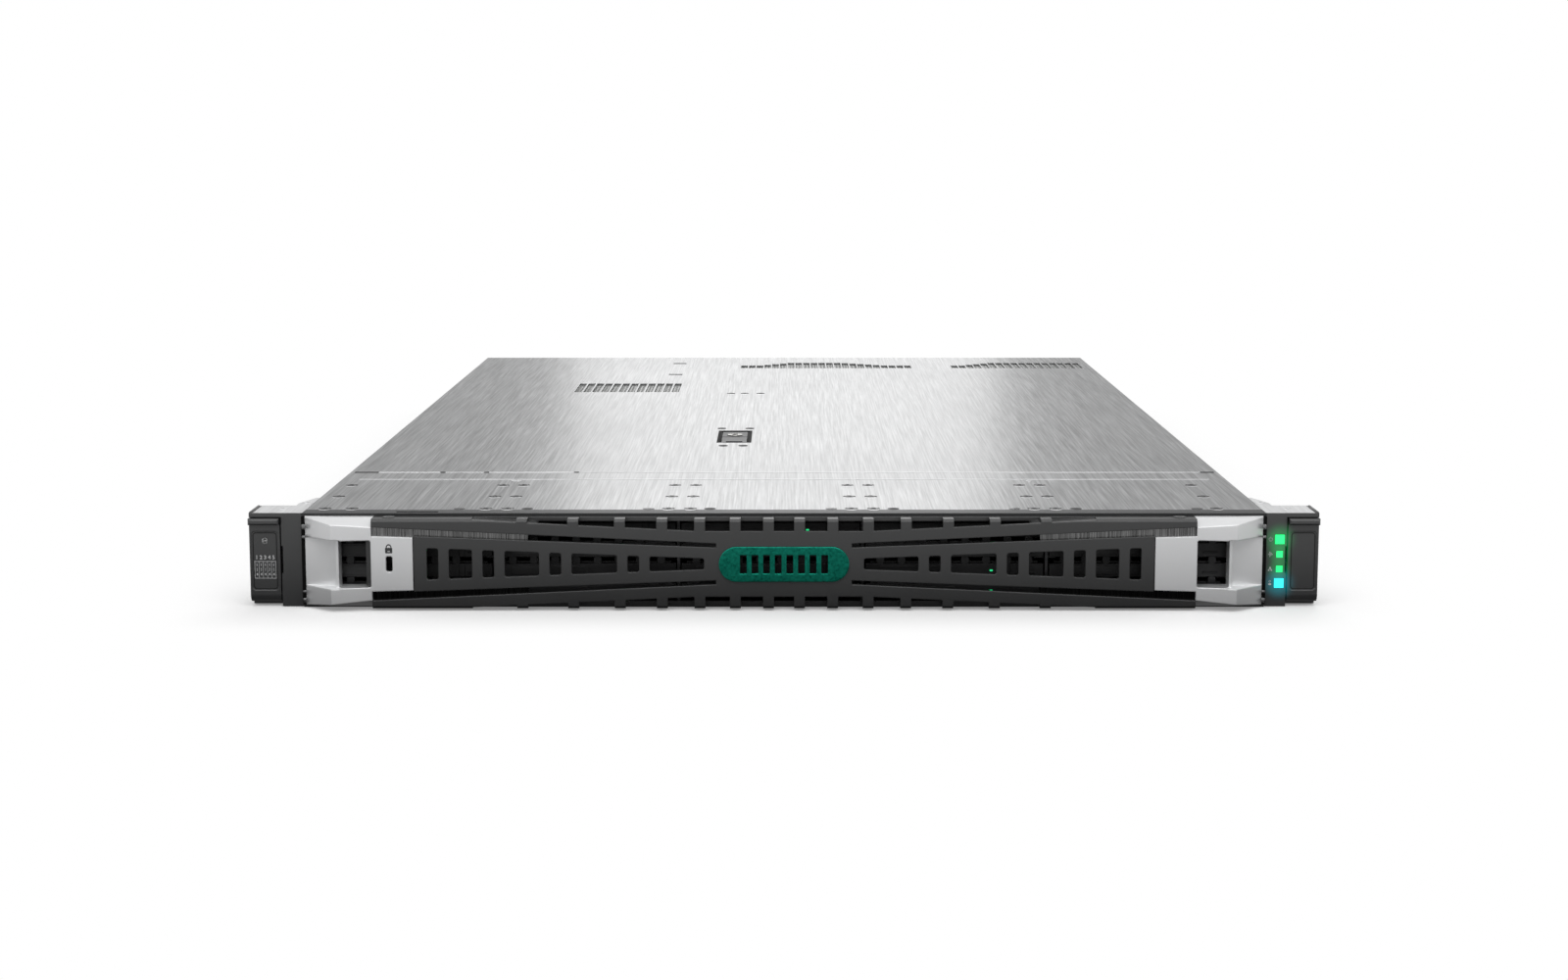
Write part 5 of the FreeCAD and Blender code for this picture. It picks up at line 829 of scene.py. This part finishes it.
LEVER_LOW, LEVER_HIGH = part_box("cover_latch_lever")
near_left = Vector((LEVER_LOW.x, LEVER_LOW.y, LEVER_HIGH.z))
near_right = Vector((LEVER_HIGH.x, LEVER_LOW.y, LEVER_HIGH.z))
block("latch_crease", near_left + mm(0.6, 26.2, -0.2), near_right + mm(-0.6, 27.0, 0.08), latch_gap_shade,
      "cover_latch")
for side, corner in (("left", near_left), ("right", near_right)):
    block(f"latch_gap_shade_{side}", corner + mm(-0.9, 1, -0.3),
          Vector((corner.x, LEVER_HIGH.y, corner.z)) + mm(0.9, -1, 0.1), latch_gap_shade, "cover_latch")
LOCK = (near_left + near_right) / 2 + mm(0, 34, 0)
lock = disc("latch_lock_screw", 4.2, 0.6, LOCK + mm(0, 0, 0.2))
pick(lock, lambda place, way: way.z > 0.9)
step_faces(((0.7, 0.2), (0.9, -0.4)))
finished(lock, nickel_lid, "cover_latch")
star = disc("latch_lock_drive", 1.4, 0.4, LOCK + mm(0, 0, 0.3), sides=6)
pick(star, lambda place, way: abs(way.z) < 0.1)
bpy.ops.mesh.inset(thickness=0.08 * MM, use_individual=True)
bpy.ops.mesh.extrude_region_shrink_fatten(TRANSFORM_OT_shrink_fatten={"value": 0.4 * MM})
finished(star, latch_gap_shade, "cover_latch")
# The four pressings round the lever are painted dark: painted shade, as on the buttons of the top.
LATCH_BUTTONS = ((-35.4, 295), (-19.5, 295), (-32.9, 217), (-22.2, 217))
pressed("latch_buttons", LATCH_BUTTONS, 2.5, 0.26, 0.1, shear_line_and_shade, COVER_Z, "access_cover")


# ---- Rack ears -----------------------------------------------------------------------------------------
# Plated steel brackets riveted to the chassis, with charcoal mouldings that hold the levers and the lights.
# The lights shine through their windows, a glow round them is painted into the right moulding as emission, and
# small pale signs are printed beside them.
ear_sheet = sheet_metal("ear_sheet", (0.64, 0.645, 0.65), (0.80, 0.805, 0.81), rough=(0.34, 0.48),
                        metallic=0.6)
dress(ear_sheet, "left_ear_bracket", "right_ear_bracket")
charcoal = skinned("charcoal", (0.014, 0.0144, 0.0148), (0.034, 0.035, 0.036), rough=(0.28, 0.38), shine=0.9)
dress(charcoal, "left_ear_cover", "left_ear_lever")


def make_lamp_glow():
    """Painted glow round a lamp, laid as emission on the moulding: 1 at its middle, 0 at the reach."""
    tree, takes, gives = effect("painted_lamp_glow", {"X": 0.0, "Z": 0.0, "Reach": 0.01}, {"Mask": "Float"})
    place = shader_node(tree, "TexCoord").outputs["Object"]
    flat = shader_node(tree, "VectorMath", {0: place, 1: (1.0, 0.0, 1.0)}, operation="MULTIPLY")
    lamp = shader_node(tree, "CombineXYZ", {"X": takes["X"], "Z": takes["Z"]})
    far = shader_node(tree, "VectorMath", {0: flat.outputs[0], 1: lamp.outputs[0]}, operation="DISTANCE")
    fall = shader_node(tree, "MapRange",
                       {"Value": far.outputs["Value"], 1: takes["Reach"], 2: 0.001, 3: 0.0, 4: 1.0},
                       interpolation_type="SMOOTHERSTEP")
    soft = shader_node(tree, "Math", {0: fall.outputs[0], 1: 1.6}, operation="POWER")
    tree.links.new(soft.outputs[0], gives["Mask"])
    return tree


LAMP_X = 223.8 * MM


def lit_moulding(name, lamps):
    """The charcoal moulding, with a glow painted round its lamps as emission."""
    made = charcoal.copy()
    made.name = name
    tree = made.node_tree
    bsdf = tree.nodes["Principled BSDF"]
    painted_lamp_glow = make_lamp_glow()
    glow = None
    for z, reach, colour in lamps:
        mask = use_effect(tree, painted_lamp_glow, X=LAMP_X, Z=z * MM, Reach=reach * MM)["Mask"]
        shine = between(tree, mask, (0.0, 0.0, 0.0), colour)
        if glow:
            both = shader_node(tree, "Mix", {0: 1.0, 6: glow, 7: shine}, data_type="RGBA", blend_type="ADD")
            shine = both.outputs[2]
        glow = shine
    tree.links.new(glow, bsdf.inputs["Emission Color"])
    bsdf.inputs["Emission Strength"].default_value = 1.0
    return made


# Colours of the glow painted round each lamp of the right ear.
PAINTED_GREEN_GLOW = (0.0, 0.13, 0.028)
glow_painted_charcoal = lit_moulding("glow_painted_charcoal", ((30.9, 10.5, (0.0, 0.16, 0.035)), (24.1, 8.0, PAINTED_GREEN_GLOW),
                                             (17.4, 8.0, PAINTED_GREEN_GLOW), (10.9, 10.5, (0.0, 0.13, 0.16))))
dress(glow_painted_charcoal, "right_ear_cover", "right_ear_lever")
bright_screw = sheet_metal("bright_screw", (0.4, 0.4, 0.4), (0.6, 0.6, 0.6), rough=(0.25, 0.4),
                           grain=(1500.0, 1500.0, 1500.0))
dress(bright_screw, "rack_screws", "rail_studs")
for name, shade, glow, lamps in (("green_lens", (0.01, 0.75, 0.16), (0.03, 1.0, 0.24),
                                  ("status_lights", "power_button")),
                                 ("blue_lens", (0.02, 0.70, 0.8), (0.06, 0.92, 1.0), ("locator_button",))):
    dress(glowing(name, (shade, glow), (glow, shade), 1.0, rough=0.3, grain=1800.0), *lamps)


def rim(name, low, high, y, corner, width, depth, material, body):
    """A thin round-cornered frame that faces the front, between two corners in X and Z."""
    alone()
    bpy.ops.mesh.primitive_plane_add(size=1, location=((low[0] + high[0]) / 2, y, (low[1] + high[1]) / 2),
                                     rotation=(math.radians(90), 0, 0))
    bpy.context.object.scale = (high[0] - low[0], high[1] - low[1], 1)
    piece = taken(name)
    pick(piece, lambda place, way: True)
    bpy.context.tool_settings.mesh_select_mode = (True, False, False)
    bpy.ops.mesh.select_all(action="SELECT")
    bpy.ops.mesh.bevel(offset=corner, segments=5, affect="VERTICES")
    bpy.context.tool_settings.mesh_select_mode = (False, False, True)
    bpy.ops.mesh.select_all(action="SELECT")
    bpy.ops.mesh.inset(thickness=width)
    bpy.ops.mesh.delete(type="FACE")
    bpy.ops.mesh.select_all(action="SELECT")
    bpy.ops.mesh.extrude_region_move(TRANSFORM_OT_translate={"value": (0, -depth, 0)})
    bpy.ops.mesh.select_all(action="SELECT")
    bpy.ops.mesh.normals_make_consistent(inside=False)
    return finished(piece, material, body)


label_groove = skinned("label_groove", (0.001, 0.001, 0.001), (0.003, 0.003, 0.003), rough=(0.5, 0.7),
                       wear=0.0)
grey_print = skinned("grey_print", (0.55, 0.555, 0.56), (0.70, 0.705, 0.71), rough=(0.45, 0.6), wear=0.0)
LABEL_X = (228.9, 239.9)
LABEL_Z = (8.1, 34.1)
LABEL_Y = -23.15
for side, name in ((-1, "left"), (1, "right")):
    x0, x1 = sorted(side * x for x in LABEL_X)
    rim(f"{name}_label_groove", mm(x0, LABEL_Z[0]), mm(x1, LABEL_Z[1]), (LABEL_Y - 0.02) * MM, 1.5 * MM,
        0.45 * MM, 0.06 * MM, label_groove, f"{name}_lever")

LABEL = mm(-sum(LABEL_X) / 2, LABEL_Y - 0.08, 0)
BAY_PITCH = 1.9
chart = [loop(0.95, 0.16, LABEL + mm(0, 0, z), grey_print, squash=0.62) for z in (30.9, 29.6)]
bars = [(x, 0.15, 29.6, 30.9) for x in (-0.95, 0.95)]
bars += [((k - 2) * BAY_PITCH, 0.09, 16.3, 17.9) for k in range(5)]
bars += [((k - 2.5) * BAY_PITCH, 0.08, 13.2, 20.7) for k in range(6)]
bars += [(0, 2.6 * BAY_PITCH, z - 0.1, z + 0.1) for z in (20.8, 13.1)]
chart += [strip(LABEL + mm(x - half, -0.04, z0), LABEL + mm(x + half, 0, z1), grey_print)
          for x, half, z0, z1 in bars]
for k in range(5):
    for text, height, z in ((str(k + 1), 1.7, 22.6), ("1", 1.1, 19.2), ("4", 1.1, 14.9)):
        chart.append(figure(text, height * MM, LABEL + mm((k - 2) * BAY_PITCH, 0, z), grey_print))
gathered(chart, "drive_bay_chart", "left_lever")

SIGN = Vector((219.7 * MM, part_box("right_ear_cover")[0].y, 0))
signs = [loop(0.8, 0.13, SIGN + mm(0, 0, 30.9), grey_print),
         loop(0.42, 0.12, SIGN + mm(0, 0, 11.7), grey_print, sides=14)]
bars = [(0, 0.1, 30.9, 32.1), (0, 0.6, 17.3, 17.5), (0, 0.65, 10.0, 10.8)]
bars += [((k - 1.5) * 0.5, 0.12, z0, z1)
         for k, (z0, z1) in enumerate(((23.8, 24.4), (22.9, 25.3), (23.4, 24.9), (23.8, 24.4)))]
bars += [(x, 0.35, z - 0.3, z + 0.3) for x, z in ((-0.6, 16.8), (0.6, 16.8), (0.0, 18.0))]
signs += [strip(SIGN + mm(x - half, -0.06, z0), SIGN + mm(x + half, 0, z1), grey_print)
          for x, half, z0, z1 in bars]
gathered(signs, "status_signs", "chassis")

EAR_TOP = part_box("left_ear_bracket")[1].z
ON_EAR = Vector((0, 0, EAR_TOP))
for side, name in ((-1, "left"), (1, "right")):
    x0, x1 = sorted((side * 240.3, side * 241.3))
    block(f"{name}_ear_edge", ON_EAR + mm(x0, -22.8, -0.3), ON_EAR + mm(x1, -2.0, 0.5), charcoal, "chassis",
          bevel=0.3)
EAR_SCREWS = [(s * x, y) for s in (-1, 1) for x, y in ((228.7, -9.3), (220.4, 8.7))]
pressed("ear_screws", EAR_SCREWS, 2.5, 0.3, 0.26, ear_sheet, EAR_TOP)
# The screws' sockets are small dark hexagons: painted shade in them.
pressed("ear_screw_sockets", EAR_SCREWS, 1.3, 0.12, 0.05, shear_line_and_shade, EAR_TOP, sides=6)


# ---- Bezel ---------------------------------------------------------------------------------------------
# One charcoal lattice moulding with silver-painted grips at its ends, brushed plates behind it and a vent
# insert in its hub. Spring clips stand at the outer end of each grip, with a near-black strip beside them as a
# painted shadow in the gap.
bezel_moulding = skinned("bezel_moulding", (0.012, 0.0123, 0.0126), (0.026, 0.0266, 0.0272),
                         rough=(0.27, 0.37), edge=0.0006, shine=0.8)
dress(bezel_moulding, "bezel_frame", "bezel_latch")
silver_paint = skinned("silver_paint", (0.70, 0.706, 0.714), (0.86, 0.866, 0.874), rough=(0.3, 0.42),
                       metallic=0.62, grain=4200.0, depth=0.00001, edge=0.0007, wear=0.25, coat=0.15)
dress(silver_paint, "bezel_grip_left", "bezel_grip_right")
brushed_plate, tree, bsdf = new_material("brushed_plate")
lines = use_effect(tree, drawn_grain, X=2600.0, Y=2600.0, Z=30.0)
# The plates' colour is scaled by height, near black at 12 mm and full at 34 mm: painted shade, darker towards
# the bottom.
rise = shader_node(tree, "SeparateXYZ", {0: shader_node(tree, "TexCoord").outputs["Object"]})
light = shader_node(tree, "MapRange", {"Value": rise.outputs["Z"], 1: 0.012, 2: 0.034, 3: 0.04, 4: 1.0})
tone = shader_node(tree, "Math", {0: lines["Tone"], 1: light.outputs[0]}, operation="MULTIPLY").outputs[0]
tree.links.new(between(tree, tone, (0.004, 0.004, 0.004), (0.30, 0.30, 0.30)), bsdf.inputs["Base Color"])
tree.links.new(between(tree, lines["Tone"], 0.22, 0.34), bsdf.inputs["Roughness"])
bsdf.inputs["Metallic"].default_value = 1.0
relieved(tree, bsdf, 0.0003, lines["Relief"], 0.000008)
dress(brushed_plate, "bezel_backing")
# The insert's edges take the whole edge mask and turn bright: partly wear and partly a painted highlight along
# its rims.
teal_vent = sheet_metal("teal_vent", (0.0, 0.10, 0.068), (0.008, 0.24, 0.165), rough=(0.26, 0.38),
                        metallic=0.92, edge=0.0007, wear=1.0)
dress(teal_vent, "bezel_hub_insert")

bezel_low, bezel_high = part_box("bezel_frame")
boss_spot = Vector((0, bezel_low.y, bezel_high.z)) + mm(0, 6.2, 0)
row_of(button(3.0, 0.35, 0.3, bezel_moulding, sides=24), "bezel_bosses",
       [boss_spot + mm(x, 0, 0) for x in (-177.6, 177.6)], "bezel")
PADLOCK = mm(-176.9, -34.0, 27.6)
lock_print = skinned("lock_print", (0.03, 0.031, 0.032), (0.06, 0.061, 0.062), rough=(0.45, 0.6), wear=0.0)
padlock = [loop(1.05, 0.24, PADLOCK + mm(0, 0, 1.3), lock_print, squash=1.25)]
for x0, z0, x1, z1 in ((-1.6, -1.3, -0.5, 1.3), (0.5, -1.3, 1.6, 1.3), (-0.6, 0.2, 0.6, 1.3),
                       (-0.6, -1.3, 0.6, -0.6)):
    padlock.append(strip(PADLOCK + mm(x0, -0.06, z0), PADLOCK + mm(x1, 0, z1), lock_print))
gathered(padlock, "padlock_sign", "bezel")
grip_gap_shadow = skinned("grip_gap_shadow", (0.002, 0.002, 0.002), (0.005, 0.005, 0.005), rough=(0.8, 0.95), grain=900.0,
                    wear=0.0, shine=0.1)
clip_steel = sheet_metal("clip_steel", (0.16, 0.162, 0.165), (0.3, 0.303, 0.306), grain=EVEN_GRAIN)
for side, name in ((-1, "left"), (1, "right")):
    x0, x1 = sorted((side * 215.4, side * 216.9))
    for number, (z, height) in enumerate(((37.2, 2.2), (32.6, 1.2), (7.6, 1.2), (3.6, 2.2)), 1):
        block(f"{name}_grip_clip_{number}", mm(x0, -27.5, z - height / 2), mm(x1, -25.5, z + height / 2),
              clip_steel, "bezel", bevel=0.2)
    # A near-black strip in the gap at each grip's outer end: a painted shadow.
    x0, x1 = sorted((side * 215.2, side * 217.6))
    block(f"{name}_grip_shadow", mm(x0, -24.9, 1.6), mm(x1, -23.45, 41.6), grip_gap_shadow, "bezel",
          bevel=0.5)


# ---- Floor, light and camera ---------------------------------------------------------------------------
# A pale seamless floor in a white studio. One large soft light hangs overhead, and a low one behind gives
# the top its sheen. A third lights the rear from above and is kept out of the reflections.
alone()
bpy.ops.mesh.primitive_plane_add(size=60.0, location=(0, 0, cad_box[0].z))
floor = bpy.context.object
floor.name = "studio_floor"
bpy.ops.object.transform_apply(location=True, rotation=True, scale=True)
floor_paint = bpy.data.materials.new("floor_paint")
floor_paint.use_nodes = True
tree = floor_paint.node_tree
tree.nodes.clear()
path = shader_node(tree, "LightPath").outputs
place = shader_node(tree, "TexCoord").outputs["Object"]
middle = (cad_box[0] + cad_box[1]) / 2
half = (cad_box[1] - cad_box[0]) / 2
beside = shader_node(tree, "VectorMath", {0: place, 1: (middle.x, middle.y, 0)}, operation="SUBTRACT")
beside = shader_node(tree, "VectorMath", {0: beside.outputs[0]}, operation="ABSOLUTE")
beside = shader_node(tree, "VectorMath", {0: beside.outputs[0], 1: (half.x, half.y, 0)}, operation="SUBTRACT")
beside = shader_node(tree, "VectorMath", {0: beside.outputs[0], 1: (0, 0, 0)}, operation="MAXIMUM")
reach = shader_node(tree, "VectorMath", {0: beside.outputs[0]}, operation="LENGTH").outputs["Value"]
far = shader_node(tree, "MapRange", {"Value": reach, 1: 0.0, 2: 0.06, 3: 0.0, 4: 1.0},
                  interpolation_type="SMOOTHSTEP")
# For every ray but the camera's the floor is an emission that is dark close to the object and bright further
# out, slowly over 24 cm in front and quickly over 6 cm beside and behind: a painted shadow that the object
# reflects and takes as bounce light.
slow = shader_node(tree, "MapRange", {"Value": reach, 1: 0.0, 2: 0.24, 3: 0.02, 4: 0.9},
                   interpolation_type="SMOOTHSTEP")
quick = shader_node(tree, "MapRange", {"Value": reach, 1: 0.0, 2: 0.06, 3: 0.4, 4: 0.95},
                    interpolation_type="SMOOTHSTEP")
along = shader_node(tree, "SeparateXYZ", {0: place}).outputs["Y"]
behind = shader_node(tree, "MapRange",
                     {"Value": along, 1: cad_box[0].y, 2: cad_box[0].y + 0.06, 3: 0.0, 4: 1.0})
lit = shader_node(tree, "Mix", {0: behind.outputs[0], 2: slow.outputs[0], 3: quick.outputs[0]})
matt = shader_node(tree, "BsdfDiffuse", {"Color": (0.75, 0.75, 0.75, 1)})
pale = shader_node(tree, "Emission", {"Color": (1, 1, 1, 1), "Strength": 0.2})
white = shader_node(tree, "Emission", {"Color": (1, 1, 1, 1), "Strength": 1.0})
shadow_painted_bounce = shader_node(tree, "Emission", {"Color": (1, 1, 1, 1), "Strength": lit.outputs[0]})
near = shader_node(tree, "AddShader", {0: matt.outputs[0], 1: pale.outputs[0]})
seen = shader_node(tree, "MixShader", {0: far.outputs[0], 1: near.outputs[0], 2: white.outputs[0]})
whole = shader_node(tree, "MixShader", {0: path["Is Camera Ray"], 1: shadow_painted_bounce.outputs[0], 2: seen.outputs[0]})
shader_node(tree, "OutputMaterial", {"Surface": whole.outputs[0]})
floor.data.materials.append(floor_paint)

world = bpy.data.worlds.new("studio")
bpy.context.scene.world = world
world.use_nodes = True
tree = world.node_tree
tree.nodes.clear()
path = shader_node(tree, "LightPath").outputs
seen = shader_node(tree, "Math", {0: path["Is Camera Ray"], 1: path["Is Transmission Ray"]},
                   operation="MAXIMUM")
way = shader_node(tree, "SeparateXYZ", {0: shader_node(tree, "TexCoord").outputs["Generated"]})
height = shader_node(tree, "MapRange", {"Value": way.outputs["Z"], 1: 0.0, 2: 0.5, 3: 0.40, 4: 0.85})
white = shader_node(tree, "Background", {"Color": (1, 1, 1, 1), "Strength": 1.0})
sheen = shader_node(tree, "Background", {"Color": (1, 1, 1, 1), "Strength": height.outputs[0]})
fill = shader_node(tree, "Background", {"Color": (1, 1, 1, 1), "Strength": 0.55})
soft = shader_node(tree, "MixShader", {0: path["Is Glossy Ray"], 1: fill.outputs[0], 2: sheen.outputs[0]})
whole = shader_node(tree, "MixShader", {0: seen.outputs[0], 1: soft.outputs[0], 2: white.outputs[0]})
shader_node(tree, "OutputWorld", {"Surface": whole.outputs[0]})


def soft_box(name, place, aim, width, height, power):
    """A rectangular light that faces its aim and is not seen itself."""
    light = bpy.data.lights.new(name, "AREA")
    light.shape, light.size, light.size_y, light.energy = "RECTANGLE", width, height, power
    lamp = bpy.data.objects.new(name, light)
    bpy.context.scene.collection.objects.link(lamp)
    lamp.location = place
    lamp.rotation_euler = (Vector(aim) - Vector(place)).to_track_quat("-Z", "Y").to_euler()
    lamp.visible_camera = False
    return lamp


soft_box("overhead_softbox", (0, -1.5, 1.9), (0, 0.1, 0), 3.4, 2.2, 42.0)
soft_box("back_softbox", (0, 2.4, 0.62), (0, 0.2, 0.04), 0.6, 0.9, 2.0)
soft_box("rear_softbox", (0.5, 2.7, 2.0), (0, 0.5, 0), 2.0, 1.2, 30.0).visible_glossy = False

camera_data = bpy.data.cameras.new("camera")
camera_data.lens = 60.217
camera_data.sensor_width = 36.0
camera = bpy.data.objects.new("camera", camera_data)
bpy.context.scene.collection.objects.link(camera)
camera.location = (0, -1.19157, 0.22236)
camera.rotation_euler = (math.radians(90 - 8.228), 0, 0)
bpy.context.scene.camera = camera
bpy.context.scene.view_settings.view_transform = "Standard"
